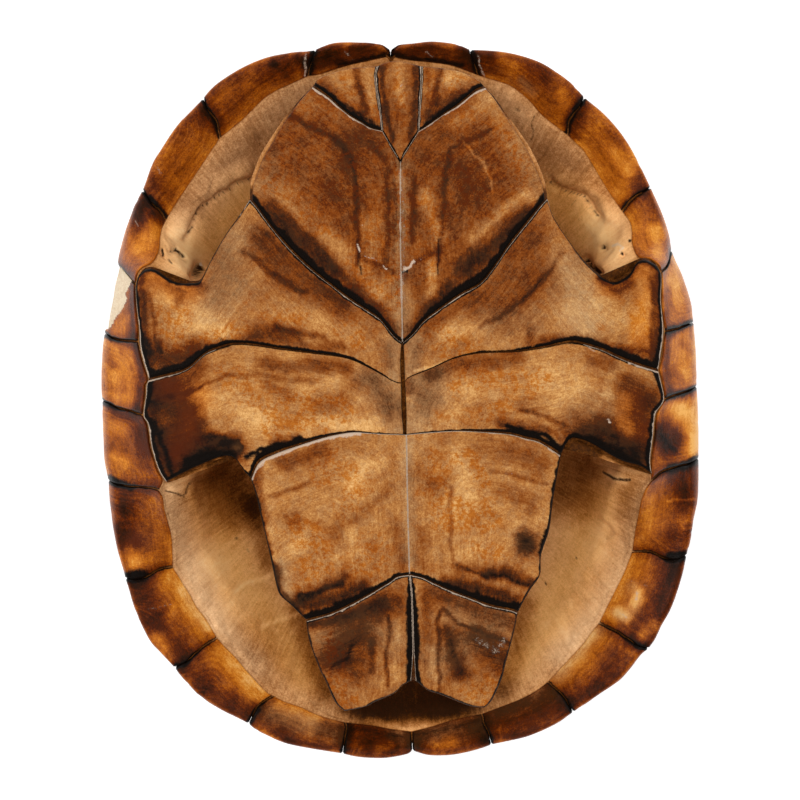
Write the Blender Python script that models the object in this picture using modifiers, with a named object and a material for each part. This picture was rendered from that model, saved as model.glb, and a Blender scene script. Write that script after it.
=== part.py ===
"""The dried shell of a side-necked turtle, lying on its back with its head end towards +Y.

The bony carapace is a bowl with a thick rim. The bony plastron closes it from above, held between the
two bridges, with four windows for the limbs. Thin horny scutes cover both bones on the outside: 24 round
the rim, 13 on the plastron, and 5 down the middle of the dome with 4 on each side of them.
Lengths are in millimetres until a mesh is made, and a plan point is (x, y) as seen from above.
"""

import math

import bmesh
import bpy
import numpy as np

MM = 0.001
WELD = 0.01

# Heights above the surface that the shell rests on
RIM_HEIGHT = 44.5
RIM_RISE_FRONT = 2.5
RIM_RISE_REAR = 2.0
HALF_LENGTH = 95.0
PLASTRON_HEIGHT = 66.0

# How far the plastron's face falls off, with where each fall starts and over what distance it is reached
CROWN_DROP, CROWN_SPAN = 0.8, 40.0
BRIDGE_DROP, BRIDGE_START, BRIDGE_SPAN = 7.5, 40.0, 29.0
FRONT_DROP, FRONT_START, FRONT_SPAN = 2.5, 45.0, 42.0
REAR_DROP, REAR_START, REAR_SPAN = 2.0, 40.0, 40.0

# Thicknesses, how deep under the scutes' outer faces the bone starts, and the width of a seam
SCUTE = 1.2
BONE = 3.6
PLASTRON_BONE = 4.0
BONE_DEPTH = 1.95
DOME_BONE_DEPTH = 2.15
PLATE_SCALE = np.array([0.99, 0.995])
SEAM_GAP = 1.2

# The dome, from the small flat patch that it rests on out to the rim, with steep sides and flared ends
CENTRE = np.array([0.0, 1.5])
SHELL_MIDDLE = np.array([0.0, 0.0, 42.0])
FLAT_RADIUS = 15.0
DOME_BELLY = 2.3
SIDE_POWER = 0.67
END_POWER = 0.88
RING = 0.84

# Under the scutes the bone's edge lies this much further in and lower for each millimetre of its depth
SIDE_INSET = 1.1
END_INSET = 2.0
END_DROP = 1.4
DROP_POWER = 8

# The rim's nose, and its underside, which falls inwards at the ends and climbs to the plastron at the bridges
NOSE = 2.2
FREE_SLOPE = -0.4
BRIDGE_RISE = 13.0
BRIDGE_PLACES = (2.6, 8.2)
BRIDGE_BLEND = 1.3

# More depth where the underside twists from falling to climbing, for each millimetre of it
TWIST = 1.2

# How far the bone stands in past the rim's scutes, with a knob in front of each bridge
LIP = 2.0
KNOB = 7.0
KNOB_PLACE = 3.55
KNOB_SPREAD = 0.22

# The shell's outline: seam, middle, seam, middle of the 24 marginal scutes, clockwise from the head end
RIM = [
    (-2.3, 92.6), (8.1, 95.0), (18.7, 92.6), (35.1, 90.2), (48.6, 80.2), (57.9, 70.6),
    (65.9, 57.1), (69.8, 48.4), (72.5, 39.1), (75.7, 30.6), (77.8, 20.5), (78.6, 11.8),
    (78.8, 2.8), (79.2, -6.8), (79.1, -16.6), (78.3, -29.3), (75.9, -42.0), (71.7, -55.3),
    (65.3, -65.6), (56.8, -75.4), (46.2, -82.3), (36.4, -87.8), (24.5, -91.0), (13.4, -94.2),
    (3.3, -92.9), (-6.2, -95.0), (-15.0, -93.7), (-27.2, -91.8), (-40.1, -86.0), (-51.0, -79.9),
    (-60.8, -70.9), (-67.7, -60.6), (-73.0, -46.5), (-76.2, -33.8), (-77.6, -20.8), (-78.8, -10.7),
    (-79.0, -0.1), (-79.2, 8.3), (-78.2, 17.6), (-76.7, 27.2), (-74.9, 35.6), (-71.9, 46.5),
    (-68.2, 55.5), (-61.3, 69.3), (-52.3, 79.4), (-39.1, 89.4), (-23.7, 92.6), (-12.6, 95.0),
]

# The inner edge of the same scutes on the shell's underside, in the same order
INNER = [
    (-2.2, 88.9), (9.9, 88.4), (21.0, 85.5), (32.6, 79.4), (44.3, 69.4), (52.2, 60.1),
    (58.8, 49.8), (62.0, 42.0), (68.4, 33.1), (68.4, 26.0), (69.2, 17.9), (67.6, 7.7),
    (69.2, 0.1), (66.3, -9.8), (65.6, -21.3), (62.2, -30.4), (61.2, -40.0), (58.6, -49.0),
    (52.7, -59.3), (46.4, -66.7), (39.0, -74.7), (30.5, -80.0), (21.8, -83.9), (12.6, -85.2),
    (3.0, -87.4), (-5.2, -86.0), (-13.9, -84.7), (-23.1, -82.1), (-33.4, -78.4), (-40.8, -71.8),
    (-48.2, -63.0), (-54.3, -53.5), (-59.6, -44.0), (-61.2, -33.8), (-62.7, -23.2), (-65.3, -12.2),
    (-67.3, -4.1), (-65.9, 5.4), (-68.4, 15.6), (-69.0, 22.9), (-69.2, 30.2), (-63.5, 39.3),
    (-61.5, 47.4), (-53.8, 59.9), (-47.4, 69.1), (-36.3, 79.4), (-24.5, 85.5), (-13.1, 88.4),
]

# Seams and free edges of the plastron's scutes, as plan points
SEAMS = {
    "front_middle": [(-5.9, 87.0), (-0.4, 88.2), (5.6, 87.0)],
    "front_left": [(-5.9, 87.0), (-12.9, 86.5), (-18.1, 84.9), (-22.2, 82.8)],
    "front_right": [(5.6, 87.0), (12.6, 86.5), (17.8, 84.7), (21.2, 82.6)],
    "intergular_left": [(-5.9, 87.0), (-6.4, 84.4), (-5.8, 79.1), (-5.1, 74.7), (-4.3, 70.0)],
    "intergular_right": [(5.6, 87.0), (5.3, 81.8), (5.1, 75.7), (4.8, 70.2)],
    "tip_left": [(0.1, 62.2), (-2.2, 66.1), (-4.3, 70.0)],
    "tip_right": [(0.1, 62.2), (2.5, 66.1), (4.8, 70.2)],
    "gular_rear_left": [(-4.3, 70.0), (-10.3, 72.6), (-16.8, 76.8), (-23.5, 81.0)],
    "gular_rear_right": [(4.8, 70.2), (10.5, 73.4), (16.2, 77.0), (22.7, 81.2)],
    "midline_humeral": [(0.1, 62.2), (-0.1, 47.9), (-0.1, 34.1), (0.9, 14.7)],
    "edge_humeral_left": [(-23.5, 81.0), (-28.5, 74.2), (-34.2, 66.1), (-37.8, 59.1), (-39.1, 51.3)],
    "edge_humeral_right": [(22.7, 81.2), (28.2, 74.7), (33.9, 65.3), (37.3, 57.5), (38.3, 52.1)],
    "humeral_pectoral_left": [
        (0.9, 14.7), (-2.5, 17.5), (-7.1, 22.2), (-15.4, 28.2), (-24.5, 35.2), (-33.6, 44.0), (-39.1, 51.3),
    ],
    "humeral_pectoral_right": [
        (0.9, 14.7), (3.8, 17.8), (7.9, 22.2), (15.2, 26.9), (23.5, 33.1), (29.5, 40.1), (38.3, 52.1),
    ],
    "axilla_left": [
        (-39.1, 51.3), (-43.5, 45.1), (-48.2, 37.3), (-51.9, 31.6), (-56.4, 30.8), (-61.1, 33.2),
        (-64.6, 35.1), (-67.6, 34.1), (-69.2, 30.2),
    ],
    "axilla_right": [
        (38.3, 52.1), (42.7, 44.3), (47.4, 36.5), (52.1, 31.1), (56.1, 30.3), (59.8, 32.7),
        (62.7, 36.7), (66.0, 36.4), (68.4, 33.1),
    ],
    "midline_pectoral": [(0.9, 14.7), (0.9, 4.3)],
    "pectoral_rear_left": [
        (0.9, 4.3), (-5.1, 7.1), (-12.8, 10.8), (-20.6, 12.3), (-31.0, 13.4), (-41.4, 14.7),
    ],
    "pectoral_rear_right": [(0.9, 4.3), (6.6, 7.9), (14.4, 10.8), (26.1, 12.3), (41.7, 14.2)],
    "bridge_seam_left": [(-41.4, 14.7), (-50.0, 12.9), (-54.5, 8.7), (-59.8, 6.9), (-65.7, 5.4)],
    "bridge_seam_right": [(41.7, 14.2), (49.5, 13.6), (55.3, 12.4), (59.0, 9.8), (63.3, 9.3), (67.6, 7.7)],
    "bridge_front_left": [(-69.2, 30.2), (-68.9, 22.9), (-68.4, 15.6), (-65.7, 5.4)],
    "bridge_front_right": [(68.4, 33.1), (68.4, 26.0), (69.2, 17.9), (67.6, 7.7)],
    "bridge_rear_left": [(-65.7, 5.4), (-67.2, -4.1), (-65.2, -12.1), (-63.3, -17.9), (-60.9, -22.0)],
    "bridge_rear_right": [(67.6, 7.7), (69.2, 0.1), (66.2, -9.8), (65.4, -20.2)],
    "midline_abdominal": [(0.9, 4.3), (1.4, -9.0)],
    "abdominal_rear_left": [
        (1.4, -9.0), (-7.7, -8.4), (-16.7, -9.0), (-27.1, -11.8), (-35.4, -15.2), (-38.8, -20.1),
    ],
    "abdominal_rear_right": [
        (1.4, -9.0), (10.5, -8.2), (20.9, -7.9), (30.0, -9.0), (37.8, -11.3), (41.9, -14.4),
    ],
    "groin_left": [
        (-38.8, -20.1), (-41.2, -16.5), (-44.5, -15.2), (-51.1, -17.0), (-57.1, -19.7), (-60.9, -22.0),
    ],
    "groin_right": [
        (41.9, -14.4), (44.0, -10.8), (49.0, -11.3), (54.8, -14.7), (60.6, -17.1), (65.4, -20.2),
    ],
    "midline_femoral": [(1.4, -9.0), (1.9, -26.1), (3.0, -46.3)],
    "edge_femoral_left": [
        (-38.8, -20.1), (-36.7, -28.2), (-34.4, -38.0), (-32.3, -47.4), (-29.7, -52.6), (-24.5, -57.2),
    ],
    "edge_femoral_right": [
        (41.9, -14.4), (40.4, -23.5), (38.6, -33.4), (36.7, -40.6), (36.0, -47.4), (30.8, -54.7),
    ],
    "femoral_rear_left": [(3.0, -46.3), (-1.2, -46.6), (-7.1, -50.5), (-14.1, -54.1), (-24.5, -57.2)],
    "femoral_rear_right": [(3.0, -46.3), (7.4, -46.6), (14.4, -49.7), (22.2, -52.8), (30.8, -54.7)],
    "midline_anal": [(3.0, -46.3), (3.0, -59.8), (3.5, -73.1)],
    "edge_anal_left": [(-24.5, -57.2), (-22.5, -67.1), (-19.4, -75.0), (-17.0, -78.9), (-13.4, -81.3)],
    "edge_anal_right": [(30.8, -54.7), (29.0, -64.5), (26.6, -72.9), (24.3, -78.1), (20.4, -80.2)],
    "notch_left": [(3.5, -73.1), (-1.2, -76.3), (-7.1, -79.4), (-13.4, -81.3)],
    "notch_right": [(3.5, -73.1), (8.4, -76.0), (14.4, -78.4), (20.4, -80.2)],
}

# Seams under the dome, right half: corners of the middle row, its side corners, and places along the rim
ROW_ENDS = [(14.0, 50.0), (15.0, 20.0), (14.0, -17.0), (10.0, -50.0)]
ROW_SIDES = [(22.0, 36.0), (23.0, 2.0), (19.0, -34.0)]
RIM_STOPS = [1.3, 4.5, 6.5, 8.5, 10.6]
CORNER_PLACES = 1.2

# How finely curves are followed when they are measured
CURVE_STEPS = 60
OUTLINE_STEPS = 960

# How many faces: columns from the midline outwards, and rows from front to rear
TIP_COLUMNS = 1
LOBE_COLUMNS = 4
BRIDGE_COLUMNS = 3
DOME_ROWS = 4
COSTAL_STEPS = [0.0, 0.22, 0.42, 0.6, 0.75, 0.88, 1.0]
ROWS = {"gular": 3, "humeral": 4, "pectoral": 3, "abdominal": 3, "femoral": 4, "anal": 4}

# Steps of the shell's section: out along the dome, over the nose, down the lip and back along the bowl
DOME_STEPS = [0.0, 0.2, 0.4, 0.56, 0.7]
SHOULDER_STEPS = [RING, 0.9, 0.95, 0.985, 1.0]
NOSE_STEPS = [0.35, 1.0]
UNDERSIDE_STEP = 0.55
LIP_STEPS = [(0.75, 0.0, 0.8), (1.0, 0.0, 1.5), (1.0, 2.5, 3.8), (1.0, 6.0, 8.5)]
BOWL_STEPS = [(0.94, 0.55), (0.87, 0.25), (0.78, 0.07), (0.64, 0.0), (0.44, 0.0), (0.24, 0.0)]

# Colours, roughness
AMBER_HORN = ((0.46, 0.16, 0.03), 0.3)
TAN_HORN = ((0.50, 0.28, 0.11), 0.4)
BROWN_HORN = ((0.13, 0.06, 0.025), 0.35)
BARE_BONE = ((0.55, 0.36, 0.18), 0.6)


def curve(points, place, closed=False):
    """Points on a Catmull-Rom curve, which passes the given points at place = 0, 1, 2 and so on."""
    points = np.asarray(points, float)
    if closed:
        place = np.mod(place, len(points))
        padded = np.vstack([points[-1:], points, points[:2]])
    else:
        padded = np.vstack([2 * points[0] - points[1], points, 2 * points[-1] - points[-2]])
    place = np.asarray(place, float)
    span = np.clip(np.floor(place).astype(int), 0, len(padded) - 4)
    part = (place - span)[..., None]
    before, start, end, after = (padded[span + step] for step in range(4))
    return 0.5 * (
        2 * start
        + (end - before) * part
        + (2 * before - 5 * start + 4 * end - after) * part**2
        + (3 * start - before - 3 * end + after) * part**3
    )


def along(points, count):
    """The curve through the points, cut into count stretches of equal length."""
    fine = curve(points, np.linspace(0, len(points) - 1, CURVE_STEPS * len(points)))
    walked = np.concatenate([[0], np.cumsum(np.hypot(*np.diff(fine, axis=0).T))])
    wanted = np.linspace(0, walked[-1], count + 1)
    return np.stack([np.interp(wanted, walked, fine[:, axis]) for axis in (0, 1)], axis=1)


def chain(*runs):
    """Several runs of points end to end, with each shared end kept once."""
    return np.vstack([runs[0]] + [run[1:] for run in runs[1:]])


def smooth(value):
    value = np.clip(value, 0, 1)
    return value * value * (3 - 2 * value)


def with_height(plan, heights):
    return np.concatenate([plan, heights[..., None]], axis=-1)


def rim_point(place):
    """Plan point of the outline; a whole place is a seam between two marginals, counted from the head end."""
    return curve(RIM, 2 * np.asarray(place, float), closed=True)


def inner_point(place):
    return curve(INNER, 2 * np.asarray(place, float), closed=True)


def rim_height(y):
    rise = np.where(y > 0, RIM_RISE_FRONT, RIM_RISE_REAR)
    return RIM_HEIGHT + rise * (y / HALF_LENGTH) ** 2


def from_head(place):
    """The place counted from the head end down either side, 0 to 12."""
    side = np.mod(place, 24.0)
    return np.minimum(side, 24.0 - side)


def bridge(place):
    """1 along the bridges, where the rim's underside climbs to the plastron, and 0 at the free rim."""
    start, end = BRIDGE_PLACES
    side = from_head(place)
    return smooth((side - start) / BRIDGE_BLEND) * smooth((end - side) / BRIDGE_BLEND)


def lip_width(place):
    """How far the bone stands in past the scutes: a narrow lip, and a broad knob in front of each bridge."""
    knob = KNOB * np.exp(-(((from_head(place) - KNOB_PLACE) / KNOB_SPREAD) ** 2))
    return LIP * (1 - bridge(place)) + knob


def wall_power(place):
    """How upright the dome ends at the rim: more so the smaller this is, so least at the head and tail."""
    return END_POWER + (SIDE_POWER - END_POWER) * np.sin(math.pi * from_head(place) / 12) ** 2


def shell_fall(run, edge, drop, power, depth):
    """Height of the dome: flat at run 0, and at run 1, the rim, the edge's height less the drop."""
    run = np.clip(run, 0, 1)
    return depth + (edge - depth) * (1 - (1 - run**DOME_BELLY) ** power) - drop * run**DROP_POWER


def outwards(place):
    """Unit plan direction from the middle to a place on the rim, and how far off the rim is."""
    ray = rim_point(place) - CENTRE
    reach = np.hypot(ray[..., 0], ray[..., 1])
    return ray / reach[..., None], reach


def dome_edge(place, depth):
    """The dome sunk by depth: its reach, the rim's height, the drop below that, and the wall's power."""
    free = 1 - bridge(place)
    inset = (SIDE_INSET + (END_INSET - SIDE_INSET) * free) * depth
    height = rim_height(rim_point(place)[..., 1])
    return outwards(place)[1] - inset, height, END_DROP * free * depth, wall_power(place)


def dome_point(place, run, depth):
    """Point of the dome on the ray to a place on the rim, sunk into the shell by depth."""
    reach, *form = dome_edge(place, depth)
    plan = CENTRE + outwards(place)[0] * (FLAT_RADIUS + run * (reach - FLAT_RADIUS))[..., None]
    return with_height(plan, shell_fall(run, *form, depth))


def dome_heights(plan, depth):
    """Heights of the same dome over plan points."""
    place = np.linspace(0, 24, OUTLINE_STEPS, endpoint=False)
    turn = np.arctan2(*outwards(place)[0].T[::-1])
    offset = plan - CENTRE
    angle = np.arctan2(offset[..., 1], offset[..., 0])
    reach, *form = (np.interp(angle, turn, values, period=2 * math.pi) for values in dome_edge(place, depth))
    run = (np.hypot(offset[..., 0], offset[..., 1]) - FLAT_RADIUS) / (reach - FLAT_RADIUS)
    return shell_fall(run, *form, depth)


def underside_width(place):
    return np.hypot(*np.moveaxis(rim_point(place) - inner_point(place), -1, 0))


def underside_point(place, across, depth):
    """Point of the rim's underside: a quarter round from the nose, then a slope to the scutes' inner edge."""
    direction, rim_reach = outwards(place)
    reach = dome_edge(place, depth)[0]
    start = CENTRE + direction * reach[..., None]
    width = underside_width(place)
    plan = start + (inner_point(place) - start) * across[..., None]
    round_off = np.sqrt(1 - (1 - np.clip(across * width / NOSE, 0, 1)) ** 2)
    free_rise = FREE_SLOPE * width
    bridged = bridge(place)
    climb = free_rise + (BRIDGE_RISE - free_rise) * bridged - NOSE
    slope = climb / width
    falling = slope < 0
    sunk = depth * (round_off + (np.hypot(1, slope) - 1) * np.where(falling, round_off, across))
    sunk = sunk + depth * TWIST * bridged * (1 - bridged) * across
    sunk = sunk - np.where(falling, slope * (1 - across) * (rim_reach - reach), 0)
    height = rim_height(rim_point(place)[..., 1]) + NOSE * round_off + climb * across - sunk
    return with_height(plan, height)


def plastron_height(plan):
    """The plastron's outer face: nearly level, falling off to the bridges and at the ends of both lobes."""
    x, y = np.abs(plan[..., 0]), plan[..., 1]
    height = PLASTRON_HEIGHT - CROWN_DROP * np.clip(x / CROWN_SPAN, 0, 1) ** 2
    height = height - BRIDGE_DROP * (np.clip(x - BRIDGE_START, 0, None) / BRIDGE_SPAN) ** 2
    height = height - FRONT_DROP * (np.clip(y - FRONT_START, 0, None) / FRONT_SPAN) ** 2
    return height - REAR_DROP * (np.clip(-y - REAR_START, 0, None) / REAR_SPAN) ** 2


def patch(front, rear, inner, outer, steps=None):
    """Coons patch: points between four edges, each edge followed exactly, with columns at the given steps."""
    steps = np.linspace(0, 1, len(front)) if steps is None else np.asarray(steps)
    u = steps[None, :, None]
    v = np.linspace(0, 1, len(inner))[:, None, None]
    ruled = (1 - v) * front[None] + v * rear[None]
    crossed = (1 - u) * inner[:, None] + u * outer[:, None]
    corners = (1 - v) * ((1 - u) * front[0] + u * front[-1]) + v * ((1 - u) * rear[0] + u * rear[-1])
    return ruled + crossed - corners


def drawn_in(grid, front=0.0, rear=0.0, inner=0.0, outer=0.0):
    """The patch with its four edges moved in by these distances, which leaves the seams open."""
    moved = grid.copy()
    sides = [
        ((0, slice(None)), (1, slice(None)), front),
        ((-1, slice(None)), (-2, slice(None)), rear),
        ((slice(None), 0), (slice(None), 1), inner),
        ((slice(None), -1), (slice(None), -2), outer),
    ]
    for edge, neighbour, distance in sides:
        step = grid[neighbour] - grid[edge]
        step = step / np.linalg.norm(step, axis=1, keepdims=True)
        tangent = np.gradient(grid[edge], axis=0)
        tangent = tangent / np.linalg.norm(tangent, axis=1, keepdims=True)
        slant = np.abs(step[:, 0] * tangent[:, 1] - step[:, 1] * tangent[:, 0])
        moved[edge] = moved[edge] + step * (distance / np.maximum(slant, 0.5))[:, None]
    return moved


def plastron_patches():
    """Plan grid of each of the plastron's 13 scutes, from the midline outwards and from front to rear."""
    grids = {}
    tips = []
    columns = TIP_COLUMNS + LOBE_COLUMNS
    for side in ("left", "right"):

        def seam(name, count, side=side):
            return along(SEAMS[f"{name}_{side}"], count)

        gular = seam("gular_rear", LOBE_COLUMNS)
        tip = seam("tip", TIP_COLUMNS)
        humeral_rear = seam("humeral_pectoral", columns)
        pectoral_rear = chain(seam("pectoral_rear", columns), seam("bridge_seam", BRIDGE_COLUMNS))
        abdominal_rear = seam("abdominal_rear", columns)
        femoral_rear = seam("femoral_rear", columns)
        neck = seam("intergular", ROWS["gular"])
        tips.append((neck, tip))
        outer = np.linspace(seam("front", 1)[-1], gular[-1], ROWS["gular"] + 1)
        grids[f"gular_{side}"] = patch(seam("front", LOBE_COLUMNS), gular, neck, outer)
        grids[f"humeral_{side}"] = patch(
            chain(tip, gular), humeral_rear,
            along(SEAMS["midline_humeral"], ROWS["humeral"]), seam("edge_humeral", ROWS["humeral"]),
        )
        grids[f"pectoral_{side}"] = patch(
            chain(humeral_rear, seam("axilla", BRIDGE_COLUMNS)), pectoral_rear,
            along(SEAMS["midline_pectoral"], ROWS["pectoral"]), seam("bridge_front", ROWS["pectoral"]),
        )
        grids[f"abdominal_{side}"] = patch(
            pectoral_rear, chain(abdominal_rear, seam("groin", BRIDGE_COLUMNS)),
            along(SEAMS["midline_abdominal"], ROWS["abdominal"]), seam("bridge_rear", ROWS["abdominal"]),
        )
        grids[f"femoral_{side}"] = patch(
            abdominal_rear, femoral_rear,
            along(SEAMS["midline_femoral"], ROWS["femoral"]), seam("edge_femoral", ROWS["femoral"]),
        )
        grids[f"anal_{side}"] = patch(
            femoral_rear, seam("notch", columns),
            along(SEAMS["midline_anal"], ROWS["anal"]), seam("edge_anal", ROWS["anal"]),
        )
    (left, left_tip), (right, right_tip) = tips
    front = along(SEAMS["front_middle"], 2 * TIP_COLUMNS)
    grids["intergular"] = patch(front, chain(left_tip[::-1], right_tip), left, right)
    return grids


def ring_point(place):
    return dome_point(np.asarray(place, float), RING, 0.0)[..., :2]


def straight(*corners):
    """A run of DOME_ROWS stretches through the corners."""
    count = DOME_ROWS // (len(corners) - 1)
    return chain(*[np.linspace(a, b, count + 1) for a, b in zip(corners, corners[1:])])


def ring_run(first, last, steps):
    return ring_point(first + (last - first) * np.asarray(steps))


def dome_patches():
    """Plan grid of the dome's scutes: five down the middle, and four on each side of them."""
    grids = {}
    even = np.linspace(0, 1, DOME_ROWS + 1)
    steps = np.array(COSTAL_STEPS)
    mirror = np.array([-1.0, 1.0])
    for side, sign in (("left", -1.0), ("right", 1.0)):
        ends = [np.array([sign * x, y]) for x, y in ROW_ENDS]
        sides = [np.array([sign * x, y]) for x, y in ROW_SIDES]
        stops = [place if sign > 0 else 24.0 - place for place in RIM_STOPS]
        front_corner = stops[0] + sign * CORNER_PLACES
        rear_corner = stops[4] - sign * CORNER_PLACES
        seams = [sides[i] + (ring_point(stops[i + 1]) - sides[i]) * steps[:, None] for i in range(3)]
        grids[f"costal_{side}_1"] = patch(
            ring_run(stops[0], front_corner, steps), seams[0],
            straight(ring_point(stops[0]), ends[0], sides[0]),
            ring_run(front_corner, stops[1], even), steps,
        )
        for i in (1, 2):
            grids[f"costal_{side}_{i + 1}"] = patch(
                seams[i - 1], seams[i],
                straight(sides[i - 1], ends[i], sides[i]), ring_run(stops[i], stops[i + 1], even), steps,
            )
        grids[f"costal_{side}_4"] = patch(
            seams[2], ring_run(stops[4], rear_corner, steps),
            straight(sides[2], ends[3], ring_point(stops[4])),
            ring_run(stops[3], rear_corner, even), steps,
        )
    rows = [straight(np.array(end) * mirror, np.array(end)) for end in ROW_ENDS]
    front = ring_run(-RIM_STOPS[0], RIM_STOPS[0], even)
    rear = ring_run(24 - RIM_STOPS[4], RIM_STOPS[4], even)
    grids["vertebral_1"] = patch(
        front, rows[0], straight(front[0], rows[0][0]), straight(front[-1], rows[0][-1])
    )
    for i, side in enumerate(ROW_SIDES):
        grids[f"vertebral_{i + 2}"] = patch(
            rows[i], rows[i + 1],
            straight(rows[i][0], side * mirror, rows[i + 1][0]),
            straight(rows[i][-1], side, rows[i + 1][-1]),
        )
    grids["vertebral_5"] = patch(
        rows[3], rear, straight(rows[3][0], rear[0]), straight(rows[3][-1], rear[-1])
    )
    return grids


def shoulder(place, depth):
    """Rows of points from the seam under the rim round the nose to the underside's inner edge."""
    width = underside_width(place)
    across = [step * NOSE / width for step in NOSE_STEPS]
    across += [np.full_like(place, UNDERSIDE_STEP), 1 - 0.5 * SEAM_GAP / width]
    rows = [dome_point(place, np.full_like(place, step), depth) for step in SHOULDER_STEPS]
    return rows + [underside_point(place, share, depth) for share in across]


def marginal_grid(number):
    """One marginal scute: half the shell's section, between two seams of the rim."""
    gap = 0.5 * SEAM_GAP / np.hypot(*(rim_point(number + 1) - rim_point(number)))
    place = np.array([number + gap, number + 0.5, number + 1 - gap])
    rows = shoulder(place, 0.0)
    reach = np.linalg.norm(rim_point(place) - CENTRE, axis=1) - FLAT_RADIUS
    rows[0] = dome_point(place, RING + 0.5 * SEAM_GAP / reach, 0.0)
    return np.stack(rows)


def carapace_rows():
    """The carapace bone's section, row by row, from the dome's middle round the rim to the bowl's middle."""
    place = np.arange(0, 24, 0.5)
    rows = [dome_point(place, np.full_like(place, step), DOME_BONE_DEPTH) for step in DOME_STEPS]
    rows += shoulder(place, BONE_DEPTH)
    edge = rows[-1]
    inward = CENTRE - edge[:, :2]
    reach = np.linalg.norm(inward, axis=1, keepdims=True)
    inward = inward / reach
    for share, past, down in LIP_STEPS:
        plan = edge[:, :2] + inward * (share * lip_width(place) + past)[:, None]
        rows.append(np.column_stack([plan, edge[:, 2] - down]))
    foot = rows[-1][:, :2] - CENTRE
    step = rows[-1][:, 2] - dome_heights(rows[-1][:, :2], DOME_BONE_DEPTH + BONE)
    for share, left in BOWL_STEPS:
        plan = CENTRE + foot * share
        rows.append(np.column_stack([plan, dome_heights(plan, DOME_BONE_DEPTH + BONE) + left * step]))
    return np.stack(rows)


def faces_out(grid):
    """True where the grid's faces, taken row by row, look away from the shell's middle."""
    facing = np.cross(np.diff(grid, axis=1)[:-1], np.diff(grid, axis=0)[:, :-1])
    return (facing * (grid[:-1, :-1] - SHELL_MIDDLE)).sum() > 0


def triangles(index, flip=False):
    """Two triangles for each cell of a grid of point numbers, all cut along the same diagonal."""
    a, b, c, d = index[:-1, :-1], index[:-1, 1:], index[1:, 1:], index[1:, :-1]
    faces = np.concatenate([np.stack([a, b, c], axis=-1), np.stack([a, c, d], axis=-1)]).reshape(-1, 3)
    return (faces[:, ::-1] if flip else faces).tolist()


def material(name, look):
    colour, roughness = look
    finish = bpy.data.materials.new(name)
    finish.use_nodes = True
    shader = finish.node_tree.nodes["Principled BSDF"]
    shader.inputs["Base Color"].default_value = (*colour, 1.0)
    shader.inputs["Roughness"].default_value = roughness
    shader.inputs["Metallic"].default_value = 0.0
    return finish


def add_object(name, points, faces, look, collection):
    mesh = bpy.data.meshes.new(name)
    mesh.from_pydata((points * MM).tolist(), [], faces)
    mesh.validate()
    obj = bpy.data.objects.new(name, mesh)
    obj.data.materials.append(material(name, look))
    collection.objects.link(obj)
    return obj


def add_sheet(name, grids, thickness, look, collection):
    """An open sheet of one or more grids that share their edges, thickened inwards."""
    faces = []
    count = 0
    for grid in grids:
        index = count + np.arange(grid.shape[0] * grid.shape[1]).reshape(grid.shape[:2])
        faces += triangles(index, flip=not faces_out(grid))
        count += index.size
    obj = add_object(name, np.vstack([grid.reshape(-1, 3) for grid in grids]), faces, look, collection)
    weld(obj.data)
    wall = obj.modifiers.new("thickness", "SOLIDIFY")
    wall.thickness = thickness * MM
    wall.offset = -1.0


def weld(mesh):
    """Joins the edges that neighbouring grids share."""
    shape = bmesh.new()
    shape.from_mesh(mesh)
    bmesh.ops.remove_doubles(shape, verts=shape.verts, dist=WELD * MM)
    shape.to_mesh(mesh)
    shape.free()


def add_carapace(collection):
    """The bowl of bone: rings of points from the dome's middle to the bowl's, closed by two middle points."""
    rows = carapace_rows()
    ring = rows.shape[1]
    bottom = [CENTRE[0], CENTRE[1], DOME_BONE_DEPTH]
    top = [CENTRE[0], CENTRE[1], DOME_BONE_DEPTH + BONE]
    points = np.vstack([rows.reshape(-1, 3), bottom, top])
    index = np.arange(rows.shape[0] * ring).reshape(-1, ring)
    index = np.column_stack([index, index[:, 0]])
    faces = triangles(index, flip=True)
    low, high = len(points) - 2, len(points) - 1
    faces += [[low, index[0, i], index[0, i + 1]] for i in range(ring)]
    faces += [[high, index[-1, i + 1], index[-1, i]] for i in range(ring)]
    add_object("carapace", points, faces, BARE_BONE, collection)


def add_plastron(collection):
    """The plate of bone, and over it the scutes, with each seam half open from both its sides."""
    half = 0.5 * SEAM_GAP
    plate = []
    for name, plan in plastron_patches().items():
        bone_plan = plan * PLATE_SCALE
        plate.append(with_height(bone_plan, plastron_height(bone_plan) - BONE_DEPTH))
        open_edges = {"front": half, "rear": half, "inner": half, "outer": 0.0}
        if name.startswith(("pectoral", "abdominal", "intergular")):
            open_edges["outer"] = half
        if name.startswith(("gular", "intergular")):
            open_edges["front"] = 0.0
        if name.startswith("anal"):
            open_edges["rear"] = 0.0
        plan = drawn_in(plan, **open_edges)
        grid = with_height(plan, plastron_height(plan))
        add_sheet(f"{name}_scute", [grid], SCUTE, TAN_HORN, collection)
    add_sheet("plastron", plate, PLASTRON_BONE, BARE_BONE, collection)


def add_dome_scutes(collection):
    half = 0.5 * SEAM_GAP
    for name, plan in dome_patches().items():
        plan = drawn_in(plan, half, half, half, half)
        grid = with_height(plan, dome_heights(plan, 0.0))
        add_sheet(f"{name}_scute", [grid], SCUTE, BROWN_HORN, collection)


def add_marginals(collection):
    for number in range(24):
        name = f"marginal_right_{number + 1}" if number < 12 else f"marginal_left_{24 - number}"
        add_sheet(f"{name}_scute", [marginal_grid(number)], SCUTE, AMBER_HORN, collection)


def build():
    for obj in list(bpy.data.objects):
        bpy.data.objects.remove(obj, do_unlink=True)
    shell = bpy.data.collections.new("turtle_shell")
    bpy.context.scene.collection.children.link(shell)
    add_carapace(shell)
    add_plastron(shell)
    add_dome_scutes(shell)
    add_marginals(shell)


build()
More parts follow.
